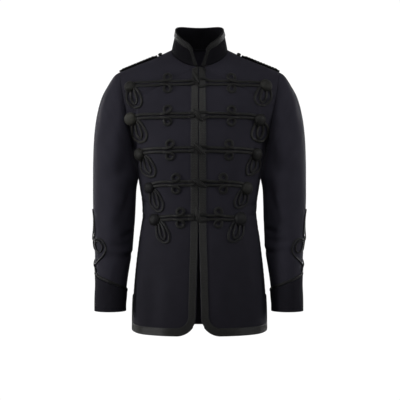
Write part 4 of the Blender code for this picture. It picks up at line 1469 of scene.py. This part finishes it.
def build_row(side, i, front, width):
    """A row of doubled cord with an eye above and below, from its cap to the button.

    Its middle line droops by ROW_DROOP * (x / cap x) squared and wavers by a fine sine. Near the
    cap it draws in to the cap's height, and at the front edge it climbs onto the braid.
    """
    z, eye_x = FROGS["z"][i], FROGS["eye_x"][i]
    cap_x, cap_z, _ = dome_of(side, i)
    trial = np.linspace(cap_x, eye_x, 60)
    trial_z = z - ROW_DROOP * (trial / cap_x) ** 2
    places = front.point(*front.seat(points(side * trial, 0 * trial, trial_z)))
    away_from_cap = np.linalg.norm(places - places[0], axis=1)
    end, bend = np.interp(CAP_COVER, away_from_cap, trial)
    x, away, lift = row_route(side, i, end)
    waver = ROW_WAVER * np.sin(x * 95 + 2.1 * i + side) * np.clip((x - ROW_TURN) / 0.02, 0, 1)
    middle = z - ROW_DROOP * (np.clip(x, 0, None) / cap_x) ** 2 + waver
    tuck = np.clip((x - bend) / (end - bend), 0, 1.2) ** 2
    middle = middle + tuck * (cap_z + 0.002 - z + ROW_DROOP) * 0.35
    level, share = front.seat(points(side * x, 0 * x, middle + away * (1 - 0.25 * tuck)))
    braid_edge = BRAID + SIDE["edge"][-1] + side * CENTRE_SHIFT
    on_braid = np.interp(x, [braid_edge + RAMP_HIGH, braid_edge + RAMP_LOW], [1.0, 0.0])
    height = CORD_LIFT + on_braid * (BRAID_THICK + LAY) + np.clip(lift, 0, 1) * CROSSING
    shape = Shape()
    lay(shape, front, level, share, height, width, CORD_HEIGHT, True, 3)
    name = frog_name("frog", side, i)
    put(shape, name + "_cord", "cord", "cord", name)


def dome_of(side, i):
    """Distance out and height of the middle of a cap's dome seen from the front, and the dome's radius."""
    domes = DOMES_LEFT if side > 0 else DOMES_RIGHT
    return domes["x"][i], domes["z"][i], CAP_RADIUS * domes["reach"][i]


def round_profile(radius, rise):
    """Rows of radius, rise and the way out of a round solid, which is square to its slope."""
    slope, climb = np.gradient(radius), np.gradient(rise)
    size = np.hypot(slope, climb)
    return np.stack([radius, rise, climb / size, -slope / size], axis=1)


def cap_stand(side, i, surface):
    """A cap's foot, the cloth's normal, the way inwards, the way down, and the dome's axis and lean.

    The dome's axis = unit(normal + tilt * (1 - |normal y|) * forwards), so a cap at the side
    turns to the front.  The foot moves until the dome's middle is seen in its place."""
    x, z, reach = dome_of(side, i)
    x = side * x
    target = np.array([[x, 0.0, z]])
    for _ in range(4):
        level, share = surface.seat(target)
        share = np.minimum(share, 1 - 0.012 / np.interp(level, surface.levels, surface.lengths))
        centre, normal, inward, down = tangent_frame(surface, level[0], share[0], side)
        axis = unit(normal + CAP_TILT * (1 - abs(normal[1])) * np.array([0.0, -1.0, 0.0]))
        lean = math.sqrt(max(1 - float(axis @ normal) ** 2, 0.0))
        middle = centre + normal * reach * lean * 0.5 + axis * CAP_HEIGHT * 0.5
        target = target + 0.8 * np.array([[x - middle[0], 0.0, z - middle[2]]])
    return centre, normal, inward, down, axis, lean


def build_cap(side, i, surface):
    """A domed cap under a net: two sets of ribs wind up it and cross, over a rolled rim.

    Its radius is the cosine of the arc to the power 0.8, its height the sine to the power 0.95.
    """
    centre, normal, inward, down, axis, lean = cap_stand(side, i, surface)
    reach = dome_of(side, i)[2]
    turn = np.linspace(0, 2 * math.pi, 13)[:-1, None]
    rim = centre + CAP_RADIUS * (np.cos(turn) * inward + np.sin(turn) * down)
    rise = max(((surface.point(*surface.seat(rim, (1, 1, 1))) - centre) @ normal).max(), 0.0)
    part = np.linspace(0, 1, 30)
    arc = part * math.pi / 2
    radius = np.cos(arc) ** 0.8 * reach
    height = np.sin(arc) ** 0.95 * CAP_HEIGHT * 0.98
    radius = np.concatenate([[reach * 0.90, reach * 0.97], radius])
    height = np.concatenate([[-CAP_SKIRT * lean - 0.0012, -CAP_SKIRT * lean * 0.5 - 0.0006], height + 0.0008])
    radius[-1] = 0.0006
    profile = round_profile(radius, height + LAY + rise * (1 - lean))
    run = run_along(np.stack([radius, height], axis=1)) / CAP_RADIUS
    net = ribs(CAP_RIBS * ring_turns(CAP_SIDES), CAP_CLIMB * run[:, None])
    fade = np.clip((1.35 - run) / 0.35, 0, 1)[:, None] * np.clip(run / 0.10, 0, 1)[:, None]
    roll = 0.5 * np.exp(-(((run - 0.12) / 0.07) ** 2))[:, None]
    knot = 0.8 * np.exp(-(((run - 1.42) / 0.10) ** 2))[:, None]
    relief = CAP_RELIEF * (net * fade + 2.0 * roll + knot)
    shape = Shape()
    side_way = unit(inward - axis * (inward @ axis))
    shape.turned(centre + normal * reach * lean * 0.5, axis, side_way, profile, relief)
    name = frog_name("cap", side, i)
    put(shape, name + "_net", CAP_TONES.get((side, i), "cord"), "cord", name)


def build_drop(side, i, surface):
    """The two nested loops of cord that hang below a cap.

    The outer loop mixes the drop's outer side, inner side and bottom; the inner one lies a share
    of the way between the two sides of the outer.
    """
    x, z, _ = dome_of(side, i)
    drop = {key: column[i] for key, column in (DROPS_LEFT if side > 0 else DROPS_RIGHT).items()}
    falls = LOOP_DOWN["fall"]
    outer = sum(drop[key] * LOOP_DOWN[key] for key in ("outer", "inner", "bottom"))
    turn = int(np.argmax(falls))
    way_down = np.interp(LOOP_WITHIN["fall"], falls[: turn + 1], outer[: turn + 1])
    way_up = np.interp(LOOP_WITHIN["fall"], falls[turn:][::-1], outer[turn:][::-1])
    inner = way_down + LOOP_WITHIN["share"] * (way_up - way_down)
    shape = Shape()
    keeps = (SIDE_KEEP, SIDE_KEEP + WITHIN_KEEP)
    for across, fall, keep in zip((outer, inner), (falls, LOOP_WITHIN["fall"]), keeps):
        route = spline(np.stack([across, fall * drop["fall"]], axis=1), 10, False)
        across, fall = evenly(route, CORD_STEP, False).T
        targets = points(side * (x - across), 0 * across, z - fall)
        level, share = surface.seat(targets)
        length = np.interp(level, surface.levels, surface.lengths)
        share = np.minimum(share, 1 - keep / length)
        lay(shape, surface, level, share, CORD_LIFT, DROP_CORD, CORD_HEIGHT, False, 12)
    name = frog_name("drop", side, i)
    put(shape, name + "_cord", DROP_TONES.get((side, i), "cord"), "cord", name)


def build_olivet(i, front):
    """A spindle button under a net, over the loop that catches it.

    Its radius is 0.16 + 0.84 * cosine to the power 0.75 of the greatest, from end to end.
    """
    x, z, tilt = [OLIVETS[name][i] for name in ("x", "z", "tilt")]
    tilt = math.radians(tilt)
    level, share = front.seat(np.array([[x, 0.0, z]]))
    normal = front.normal(level[0], share[0])
    up = unit(np.array([0.0, 0.0, 1.0]) - normal * normal[2])
    across = np.cross(up, normal)
    across = across * math.copysign(1, across[0])
    axis = -math.sin(tilt) * across + math.cos(tilt) * up
    lift = LAY + BRAID_THICK + 0.0004 + CORD_HEIGHT + OLIVET_RADIUS
    centre = front.point(level[0], share[0]) + normal * lift
    part = np.linspace(-1, 1, 61)
    radius = OLIVET_RADIUS * (0.16 + 0.84 * np.cos(part * math.pi / 2) ** 0.75)
    radius[[0, -1]] = 0.0004
    net = ribs(OLIVET_RIBS * ring_turns(OLIVET_SIDES), math.pi * OLIVET_WINDS * part[:, None], 0.8)
    ends = np.exp(-(((np.abs(part) - 0.93) / 0.05) ** 2))[:, None]
    relief = OLIVET_RELIEF * (net * np.clip((1 - np.abs(part)) / 0.15, 0, 1)[:, None] + ends)
    shape = Shape()
    shape.turned(centre, axis, normal, round_profile(radius, part * OLIVET_LENGTH / 2), relief)
    put(shape, f"olivet_{i + 1}_net", "cord", "cord", f"olivet_{i + 1}")


# Shoulder cords and sleeve knots


def build_shoulder(side, front, back, twists):
    """A twisted shoulder cord along the seam, and the small button at its inner end.

    The cord runs out and back as two strands at the cosine and sine of the twist.
    """
    shares = np.linspace(0, 1, 61)
    top = np.full_like(shares, 2.0)
    seam = (front.point(top, shares) + back.point(top, shares)) / 2
    both = unit(front.normal(top, shares) + back.normal(top, shares))

    def on_seam(x, across, lift):
        place = np.interp(x, side * seam[:, 0], shares)
        ridge = np.stack([np.interp(place, shares, seam[:, k]) for k in range(3)], axis=-1)
        up = np.stack([np.interp(place, shares, both[:, k]) for k in range(3)], axis=-1)
        ridge = ridge + up * np.asarray(lift)[..., None]
        ridge[..., 1] += across
        return ridge, up

    part = np.linspace(0, 1, 130)
    angle = 2 * math.pi * twists * part
    x = SHOULDER_INNER + (SHOULDER_OUTER - SHOULDER_INNER) * part
    turn = np.linspace(0, math.pi, 8)[1:-1]
    last = math.cos(angle[-1])
    xs = np.concatenate([x, x[-1] + STRAND_END * np.sin(turn), x[::-1], x[0] - STRAND_END * np.sin(turn)])
    wide = np.concatenate([np.cos(angle), last * np.cos(turn), -np.cos(angle[::-1]), -np.cos(turn)])
    high = np.concatenate([np.sin(angle), 0 * turn, -np.sin(angle[::-1]), 0 * turn])
    path, ups = on_seam(xs, STRAND_SPREAD * wide, STRAND_SINK + STRAND_RISE * (1 + high))
    shape = Shape()
    shape.tube(path, ups, STRAND, STRAND, True)
    put(shape, "shoulder_twist_" + hand(side), "dark cord", "cord", "shoulder_cord_" + hand(side))
    centre, up = on_seam(np.array([BUTTON_X]), np.array([0.0]), np.array([LAY]))
    part = np.linspace(0, math.pi, 26)
    radius = np.maximum(BUTTON_RADIUS * np.sin(part), 0.0004)
    rise = BUTTON_MIDDLE - BUTTON_HALF_HEIGHT * np.cos(part)
    profile = np.stack([radius, rise, np.sin(part), -np.cos(part)], axis=1)
    net = ribs(BUTTON_RIBS * ring_turns(BUTTON_SIDES), BUTTON_CLIMB * part[:, None])
    shape = Shape()
    way = unit(np.cross(up[0], np.array([0.0, 1.0, 0.0])))
    shape.turned(centre[0], up[0], way, profile, PLAIT_RELIEF * net * np.sin(part)[:, None])
    put(shape, "shoulder_ball_" + hand(side), "cord", "cord", "shoulder_button_" + hand(side))


def build_knot(side, surface, width):
    """The Austrian knot above the cuff's point, and the cord on the cuff's top edge."""
    apex = cuff_top(np.array(KNOT_TURN)) + KNOT_UP

    def lay_here(across, up, lift, cord, high):
        turns = KNOT_TURN + across / WRIST_RADIUS
        lay(shape, surface, row_at_height(apex + up), turns, lift, cord, high, True)

    closing = [(0.0065, -0.0022, 0.0), (0.0, -0.0030, 0.0), (-0.0065, -0.0022, 0.0)]
    route = np.stack([KNOT["across"], KNOT["up"], KNOT["lift"]], axis=1)
    route = evenly(spline(np.concatenate([route, closing]), 8, True), CORD_STEP, True)
    across, up, lift = route.T
    across = across - KNOT_LEAN * ease((up - KNOT_LEAN_FROM) / KNOT_LEAN_RUN)
    shape = Shape()
    lay_here(across, up, KNOT_LIFT + np.clip(lift, 0, 1) * CROSSING * 0.65, KNOT_CORD, CORD_HEIGHT)
    for mirror in (1, -1):
        inner = np.stack([mirror * KNOT_CURL["across"], KNOT_CURL["up"]], axis=1)
        across, up = evenly(spline(inner, 12, True), CORD_STEP, True).T
        lay_here(across, up, CUFF_CORD_LIFT, CURL_CORD, CURL_HEIGHT)
    # The knot and the cuff's cord take the cord painted darker, a painted shade
    put(shape, "knot_cord_" + hand(side), "cord painted darker", "cord", "sleeve_knot_" + hand(side))
    turns = np.linspace(-math.pi, math.pi, 361)[:-1]
    levels = row_at_height(cuff_top(turns) + CORD / 2 + 0.0014)
    shape = Shape()
    lay(shape, surface, levels, turns, CUFF_CORD_LIFT, width, CORD_HEIGHT, True)
    put(shape, "cuff_edge_" + hand(side), "cord painted darker", "cord", "cuff_cord_" + hand(side))


# Finishes


class Nodes:
    """Short calls to add and join the nodes of a shader tree."""

    def __init__(self, tree):
        self.tree = tree

    def add(self, kind, **values):
        """A node, with its settings and the values of its sockets by name."""
        node = self.tree.nodes.new(kind)
        for name, value in values.items():
            if hasattr(node, name) and name not in node.inputs:
                setattr(node, name, value)
            else:
                self.give(node.inputs[name.replace("_", " ")], value)
        return node

    def give(self, socket, value):
        """A value or a link into a socket."""
        if isinstance(value, bpy.types.NodeSocket):
            self.tree.links.new(value, socket)
        else:
            socket.default_value = value

    def math(self, operation, *values):
        """The result of a math node."""
        node = self.tree.nodes.new("ShaderNodeMath")
        node.operation = operation
        for socket, value in zip(node.inputs, values):
            self.give(socket, value)
        return node.outputs[0]

    def noise(self, place, scale, detail, rough=0.5):
        """The strength of a noise texture at a place."""
        node = self.add("ShaderNodeTexNoise", Vector=place, Scale=scale, Detail=detail, Roughness=rough)
        return node.outputs["Fac"]

    def about(self, value, amount):
        """1 + (value - 1/2) * amount."""
        return self.math("MULTIPLY_ADD", self.math("SUBTRACT", value, 0.5), amount, 1.0)


def group(name, **values):
    """An empty node group from a place and some values to a height and a shade, with its two ends."""
    tree = bpy.data.node_groups.new(name, "ShaderNodeTree")
    tree.interface.new_socket("Place", in_out="INPUT", socket_type="NodeSocketVector")
    for label, value in values.items():
        socket = tree.interface.new_socket(label, in_out="INPUT", socket_type="NodeSocketFloat")
        socket.default_value = value
    for label in ("Height", "Shade"):
        tree.interface.new_socket(label, in_out="OUTPUT", socket_type="NodeSocketFloat")
    return Nodes(tree), tree.nodes.new("NodeGroupInput").outputs, tree.nodes.new("NodeGroupOutput").inputs


def nap_and_painted_shade_group():
    """Fine fibres and a slow cloudiness of pressed wool or pile, as a height and a shade.

    The shade goes softly to Low between the waist and the hem, a painted shade that darkens the skirt.
    """
    if "Nap and painted shade" in bpy.data.node_groups:
        return bpy.data.node_groups["Nap and painted shade"]
    nodes, start, end = group("Nap and painted shade", Grain=1500.0, Cloud=40.0, Amount=0.2, Low=1.0)
    fine = nodes.noise(start["Place"], start["Grain"], 3.0, 0.6)
    slow = nodes.noise(start["Place"], start["Cloud"], 4.0, 0.55)
    both = nodes.math("ADD", nodes.math("MULTIPLY", fine, 0.45), nodes.math("MULTIPLY", slow, 0.55))
    shade = nodes.about(both, start["Amount"])
    # Painted shade: below the waist the colour is scaled down towards Low
    spot = nodes.add("ShaderNodeSeparateXYZ", Vector=nodes.add("ShaderNodeTexCoord").outputs["Object"])
    fall = nodes.add("ShaderNodeMapRange", interpolation_type="SMOOTHSTEP", Value=spot.outputs["Z"])
    for label, value in (("From Min", WAIST), ("From Max", SKIRT), ("To Min", 1.0), ("To Max", start["Low"])):
        nodes.give(fall.inputs[label], value)
    nodes.give(end["Height"], fine)
    nodes.give(end["Shade"], nodes.math("MULTIPLY", shade, fall.outputs["Result"]))
    return nodes.tree


def plait_group():
    """Two sets of slanting strands that cross, as on a plaited cord or braid, from the flat cut's place."""
    if "Plait" in bpy.data.node_groups:
        return bpy.data.node_groups["Plait"]
    nodes, start, end = group("Plait", Pitch=0.0034, Column=0.0035, Amount=0.3, Wear=0.0)
    split = nodes.add("ShaderNodeSeparateXYZ", Vector=start["Place"])
    run = nodes.math("DIVIDE", split.outputs["X"], start["Pitch"])
    column = nodes.math("DIVIDE", split.outputs["Y"], start["Column"])
    slant = nodes.math("MULTIPLY_ADD", nodes.math("PINGPONG", column, 0.5), 1.4, run)
    wave = nodes.math("SINE", nodes.math("MULTIPLY", slant, 2 * math.pi))
    groove = nodes.math("ABSOLUTE", nodes.math("SINE", nodes.math("MULTIPLY", column, 2 * math.pi)))
    strand = nodes.math("MULTIPLY_ADD", wave, 0.5, 0.5)
    ridge = nodes.math("MULTIPLY", strand, nodes.math("POWER", groove, 0.35))
    fibre = nodes.noise(start["Place"], 2600.0, 2.0)
    height = nodes.math("ADD", nodes.math("MULTIPLY", ridge, 0.85), nodes.math("MULTIPLY", fibre, 0.15))
    worn = nodes.about(nodes.noise(start["Place"], 150.0, 3.0, 0.6), start["Wear"])
    nodes.give(end["Height"], height)
    # Partly painted shade: the colour is lighter on the strands and darker in the grooves between them; the
    # slow noise is real wear
    nodes.give(end["Shade"], nodes.math("MULTIPLY", nodes.about(height, start["Amount"]), worn))
    return nodes.tree


def fabric(name, kind, colour, gloss, **values):
    """A cloth finish: one Principled shader, its colour shaded and its surface raised by an effect group."""
    if name in bpy.data.materials:
        return bpy.data.materials[name]
    effect, raise_by, sockets = CLOTHS[kind]
    result = bpy.data.materials.new(name)
    result.use_nodes = True
    nodes = Nodes(result.node_tree)
    shader = result.node_tree.nodes["Principled BSDF"]
    place = nodes.add("ShaderNodeUVMap", uv_map="Weave")
    grain = result.node_tree.nodes.new("ShaderNodeGroup")
    grain.node_tree = effect()
    nodes.give(grain.inputs["Place"], place.outputs["UV"])
    for label, value in values.items():
        nodes.give(grain.inputs[label], value)
    tone = nodes.add("ShaderNodeVectorMath", operation="SCALE")
    nodes.give(tone.inputs[0], colour)
    nodes.give(tone.inputs["Scale"], grain.outputs["Shade"])
    nodes.give(shader.inputs["Base Color"], tone.outputs[0])
    raised = nodes.add("ShaderNodeBump", Strength=1.0, Distance=raise_by, Height=grain.outputs["Height"])
    nodes.give(shader.inputs["Normal"], raised.outputs["Normal"])
    nodes.give(shader.inputs["Specular IOR Level"], gloss)
    for label, value in sockets.items():
        nodes.give(shader.inputs[label], value)
    return result


def matt(rough, sheen, sheen_rough, tint):
    """The constant sockets of a matt cloth with a sheen."""
    return {"Roughness": rough, "Metallic": 0.0, "Sheen Weight": sheen, "Sheen Roughness": sheen_rough,
            "Sheen Tint": (*tint, 1)}


# Each kind of cloth: its effect group, how far the effect raises it, and its looks
CLOTHS = {
    "wool": (nap_and_painted_shade_group, 0.00012, matt(0.80, 0.035, 0.35, (0.72, 0.70, 0.88))),
    "velvet": (nap_and_painted_shade_group, 0.00015, matt(0.90, 0.015, 0.35, (0.7, 0.7, 0.78))),
    "plait": (plait_group, 0.0002, matt(0.50, 0.02, 0.4, (0.8, 0.8, 0.78))),
}
WOOL = {"Grain": 1400.0, "Cloud": 36.0, "Amount": 0.7}
VELVET = {"Grain": 2200.0, "Cloud": 55.0, "Amount": 0.8}
PLAIT = {"Pitch": 0.0034, "Column": 0.0040, "Amount": 0.5, "Wear": 0.4}
BRAID_PLAIT = {"Pitch": 0.0066, "Column": 0.0085, "Amount": 1.0, "Wear": 1.6}
COLLAR_PLAIT = {"Pitch": 0.0060, "Column": 0.0085, "Amount": 1.0, "Wear": 1.4}
# Each finish: its name, kind, the setting that holds its colour, how much of that colour, gloss and effect
FINISHES = {
    # Painted shade: the wool of the fronts and back darkens to 0.80 of its colour on the skirt
    "wool": ("Navy wool", "wool", "wool_colour", 1, 0.10, {**WOOL, "Low": 0.80}),
    # Painted light: the sleeves take the same wool about 1.2 times lighter, as if more light fell on them
    "sleeve wool painted lighter": ("Navy wool painted lighter for the sleeves", "wool", "wool_colour", (1.2143, 1.2197, 1.2211), 0.10, WOOL),
    "velvet": ("Black velvet", "velvet", "velvet_colour", 1, 0.03, VELVET),
    # Painted light: the cuffs take the collar's velvet about 2.2 times lighter, as if more light fell on them
    "cuff velvet painted lighter": ("Velvet painted lighter for the cuffs", "velvet", "velvet_colour", (2.1538, 2.14, 2.2188), 0.03, VELVET),
    "braid": ("Mohair braid", "plait", "braid_colour", 1, 0.20, BRAID_PLAIT),
    # Painted shade: the collar's braid is the same braid about 0.77 times as light, to hold down the light
    # the lamps throw on its slopes
    "collar braid painted darker": ("Braid with painted shade for the collar", "plait", "braid_colour", (0.7705, 0.7705, 0.8120), 0.07, COLLAR_PLAIT),
    "cord": ("Mohair cord", "plait", "cord_colour", 1, 0.13, PLAIT),
    # Painted shade: the lower rows, the knots and the cuff cords take the cord about 0.87 times as light
    "cord painted darker": ("Cord with painted shade", "plait", "cord_colour", (0.8696, 0.8681, 0.9659), 0.12, PLAIT),
    # Painted shade: the shoulder cords take the cord about two thirds as light, as if in shadow
    "dark cord": ("Shaded cord", "plait", "cord_colour", (0.6522, 0.6593, 0.6818), 0.10, PLAIT),
    "worn cord": ("Worn cord", "plait", "cord_colour", (1.3913, 1.3956, 1.2841), 0.13, PLAIT),
    "light cord": ("Light cord", "plait", "cord_colour", (3.3696, 3.3626, 2.9773), 0.13, PLAIT),
}


def finish_of(finish):
    """The material of a finish, in the colour that the settings give."""
    name, kind, setting, share, gloss, values = FINISHES[finish]
    colour = np.array(getattr(bpy.context.scene.jacket, setting)) * share
    return fabric(name, kind, tuple(colour), gloss, **values)


# Stage


def area_light(name, place, aim, size, power, spread):
    """A square lamp at a place, turned to its aim, its beam spread over an angle in degrees."""
    lamp = bpy.data.lights.new(name, "AREA")
    lamp.shape = "SQUARE"
    lamp.size = size
    lamp.energy = power
    lamp.color = KEY_TINT if name == "Key" else (1, 1, 1)
    lamp.spread = math.radians(spread)
    item = bpy.data.objects.new(name, lamp)
    item.location = place
    item.rotation_euler = (Vector(aim) - Vector(place)).to_track_quat("-Z", "Y").to_euler()
    bpy.context.scene.collection.objects.link(item)
    return item


def build_stage(settings):
    """Camera, lamps, a white world and a pale floor below the frame."""
    scene = bpy.context.scene
    scene.view_settings.view_transform = "Standard"
    lens = bpy.data.cameras.new("Camera")
    lens.lens = CAMERA_LENS
    lens.sensor_width = SENSOR
    camera = bpy.data.objects.new("Camera", lens)
    camera.location = (CAMERA_ACROSS, -CAMERA_AWAY, CAMERA_HEIGHT)
    camera.rotation_euler = (math.pi / 2, 0, 0)
    scene.collection.objects.link(camera)
    scene.camera = camera
    lamps = [
        area_light(name, place, aim, size, settings.key_power * share, spread)
        for name, (place, aim, size, share, spread) in LAMPS.items()
    ]
    world = bpy.data.worlds.new("White room")
    scene.world = world
    world.use_nodes = True
    nodes = Nodes(world.node_tree)
    path = nodes.add("ShaderNodeLightPath")
    background = world.node_tree.nodes["Background"]
    background.inputs["Color"].default_value = (1, 1, 1, 1)
    dim = settings.room_light
    strength = nodes.math("MULTIPLY_ADD", path.outputs["Is Camera Ray"], ROOM_GLOW - dim, dim)
    nodes.give(background.inputs["Strength"], strength)
    mesh = bpy.data.meshes.new("Floor")
    corners = [(x * FLOOR_HALF, y * FLOOR_HALF, FLOOR) for x, y in ((-1, -1), (1, -1), (1, 1), (-1, 1))]
    mesh.from_pydata(corners, [], [(0, 1, 2, 3)])
    finish = bpy.data.materials.new("Floor")
    finish.use_nodes = True
    nodes = Nodes(finish.node_tree)
    shader = finish.node_tree.nodes["Principled BSDF"]
    shader.inputs["Base Color"].default_value = (0.6, 0.6, 0.6, 1)
    shader.inputs["Emission Color"].default_value = (1, 1, 1, 1)
    seen = nodes.add("ShaderNodeLightPath").outputs["Is Camera Ray"]
    nodes.give(shader.inputs["Emission Strength"], nodes.math("MULTIPLY", seen, FLOOR_GLOW))
    mesh.materials.append(finish)
    floor = bpy.data.objects.new("Floor", mesh)
    scene.collection.objects.link(floor)


# Add-on


def colour_setting(name, description, default):
    """A colour that the panel shows."""
    return bpy.props.FloatVectorProperty(
        name=name, description=description, default=default, subtype="COLOR", min=0, max=1,
    )


class JacketSettings(bpy.types.PropertyGroup):
    """The sizes, colours and light that the panel shows."""

    cord_width: bpy.props.FloatProperty(
        name="Cord width", description="Width of the cord of the rows and of the cuffs' edges",
        default=CORD, min=0.004, max=0.009, precision=4, subtype="DISTANCE", unit="LENGTH",
    )
    crease_scale: bpy.props.FloatProperty(
        name="Creases", description="Depth of every crease against the depth in its table",
        default=1.6, min=0, soft_max=2, subtype="FACTOR",
    )
    twists: bpy.props.FloatProperty(
        name="Twists", description="Full twists of a shoulder cord", default=5.5, min=0, soft_max=9,
    )
    wool_colour: colour_setting("Wool", "Colour of the fronts and the back", (0.0140, 0.0132, 0.0190))
    velvet_colour: colour_setting("Velvet", "Colour of the collar", (0.0052, 0.0050, 0.0064))
    braid_colour: colour_setting("Braid", "Colour of the edge braid", (0.0122, 0.0122, 0.0117))
    cord_colour: colour_setting("Cord", "Colour of the rows of cord", (0.0092, 0.0091, 0.0088))
    key_power: bpy.props.FloatProperty(
        name="Lamps", description="Power that the lamps share out", default=76.0, min=0, unit="POWER",
    )
    room_light: bpy.props.FloatProperty(
        name="Room light", description="Strength of the white room", default=0.11, min=0, soft_max=1,
        subtype="FACTOR",
    )


FORMS = {}


def forms(context):
    """The surfaces that every piece lies on, made once."""
    if not FORMS:
        scale = context.scene.jacket.crease_scale
        FORMS["fronts"] = {side: panel_surface(side, -1, scale) for side in (1, -1)}
        FORMS["backs"] = {side: panel_surface(side, 1, scale) for side in (1, -1)}
        FORMS["front"] = joined(FORMS["fronts"][-1], FORMS["fronts"][1])
        FORMS["sleeves"] = {side: sleeve_surface(side, scale) for side in (1, -1)}
        FORMS["collar"] = collar_surface()
    return FORMS


class JACKET_OT_body(bpy.types.Operator):
    """Make the fronts and the back"""

    bl_idname = "jacket.body"
    bl_label = "Fronts and back"

    def execute(self, context):
        shapes = forms(context)
        for side in (1, -1):
            build_front(side, shapes["fronts"][side])
        build_back(shapes["backs"][1], shapes["backs"][-1])
        return {"FINISHED"}


class JACKET_OT_sleeves(bpy.types.Operator):
    """Make the sleeves and their cuffs"""

    bl_idname = "jacket.sleeves"
    bl_label = "Sleeves and cuffs"

    def execute(self, context):
        for side, surface in forms(context)["sleeves"].items():
            build_sleeve(side, surface)
            build_cuff(side, surface)
        return {"FINISHED"}


class JACKET_OT_collar(bpy.types.Operator):
    """Make the stand collar"""

    bl_idname = "jacket.collar"
    bl_label = "Collar"

    def execute(self, context):
        build_collar(forms(context)["collar"])
        return {"FINISHED"}


class JACKET_OT_braids(bpy.types.Operator):
    """Make the flat braid of the edges"""

    bl_idname = "jacket.braids"
    bl_label = "Edge braid"

    def execute(self, context):
        shapes = forms(context)
        build_braids(shapes["fronts"], shapes["backs"], shapes["collar"])
        return {"FINISHED"}


class JACKET_OT_frogging(bpy.types.Operator):
    """Make the rows of cord with their caps, drops and spindle buttons"""

    bl_idname = "jacket.frogging"
    bl_label = "Frogging"

    def execute(self, context):
        shapes = forms(context)
        for i in range(len(FROGS["z"])):
            for side in (1, -1):
                build_row(side, i, shapes["front"], context.scene.jacket.cord_width)
                build_cap(side, i, shapes["fronts"][side])
                build_drop(side, i, shapes["fronts"][side])
            build_olivet(i, shapes["front"])
        return {"FINISHED"}


class JACKET_OT_shoulders(bpy.types.Operator):
    """Make the twisted shoulder cords and their buttons"""

    bl_idname = "jacket.shoulders"
    bl_label = "Shoulder cords"

    def execute(self, context):
        shapes = forms(context)
        for side in (1, -1):
            build_shoulder(side, shapes["fronts"][side], shapes["backs"][side], context.scene.jacket.twists)
        return {"FINISHED"}


class JACKET_OT_knots(bpy.types.Operator):
    """Make the knots and the cord of the cuffs"""

    bl_idname = "jacket.knots"
    bl_label = "Sleeve knots"

    def execute(self, context):
        for side, surface in forms(context)["sleeves"].items():
            build_knot(side, surface, context.scene.jacket.cord_width)
        return {"FINISHED"}


class JACKET_OT_cuts(bpy.types.Operator):
    """Gather the rows, caps, drops and braid of each front, and change nothing"""

    bl_idname = "jacket.cuts"
    bl_label = "Flat cuts"

    def execute(self, context):
        find = bpy.data.objects
        rows = range(1, len(FROGS["z"]) + 1)
        for name in ("left", "right"):
            trims = [find[f"{kind}_{name}_{i}_{tail}"] for kind, tail in
                     (("frog", "cord"), ("cap", "net"), ("drop", "cord")) for i in rows]
            trims.append(find["braid_front_" + name])
        return {"FINISHED"}


class JACKET_OT_stage(bpy.types.Operator):
    """Make the camera, the lamps and the white room"""

    bl_idname = "jacket.stage"
    bl_label = "Stage"

    def execute(self, context):
        build_stage(context.scene.jacket)
        return {"FINISHED"}


class JACKET_PT_panel(bpy.types.Panel):
    """Buttons for each piece in the sidebar"""

    bl_label = "Patrol jacket"
    bl_idname = "JACKET_PT_panel"
    bl_space_type = "VIEW_3D"
    bl_region_type = "UI"
    bl_category = "Jacket"

    def draw(self, context):
        for name in JacketSettings.__annotations__:
            self.layout.prop(context.scene.jacket, name)
        for operator in STEPS:
            self.layout.operator(operator.bl_idname)


STEPS = (
    JACKET_OT_body, JACKET_OT_sleeves, JACKET_OT_collar, JACKET_OT_braids, JACKET_OT_frogging,
    JACKET_OT_shoulders, JACKET_OT_knots, JACKET_OT_cuts, JACKET_OT_stage,
)
CLASSES = (JacketSettings, *STEPS, JACKET_PT_panel)


def register():
    for item in CLASSES:
        bpy.utils.register_class(item)
    bpy.types.Scene.jacket = bpy.props.PointerProperty(type=JacketSettings)


def unregister():
    del bpy.types.Scene.jacket
    for item in reversed(CLASSES):
        bpy.utils.unregister_class(item)


def main():
    register()
    bpy.ops.jacket.body()
    bpy.ops.jacket.sleeves()
    bpy.ops.jacket.collar()
    bpy.ops.jacket.braids()
    bpy.ops.jacket.frogging()
    bpy.ops.jacket.shoulders()
    bpy.ops.jacket.knots()
    bpy.ops.jacket.cuts()
    bpy.ops.jacket.stage()


if __name__ == "__main__":
    main()
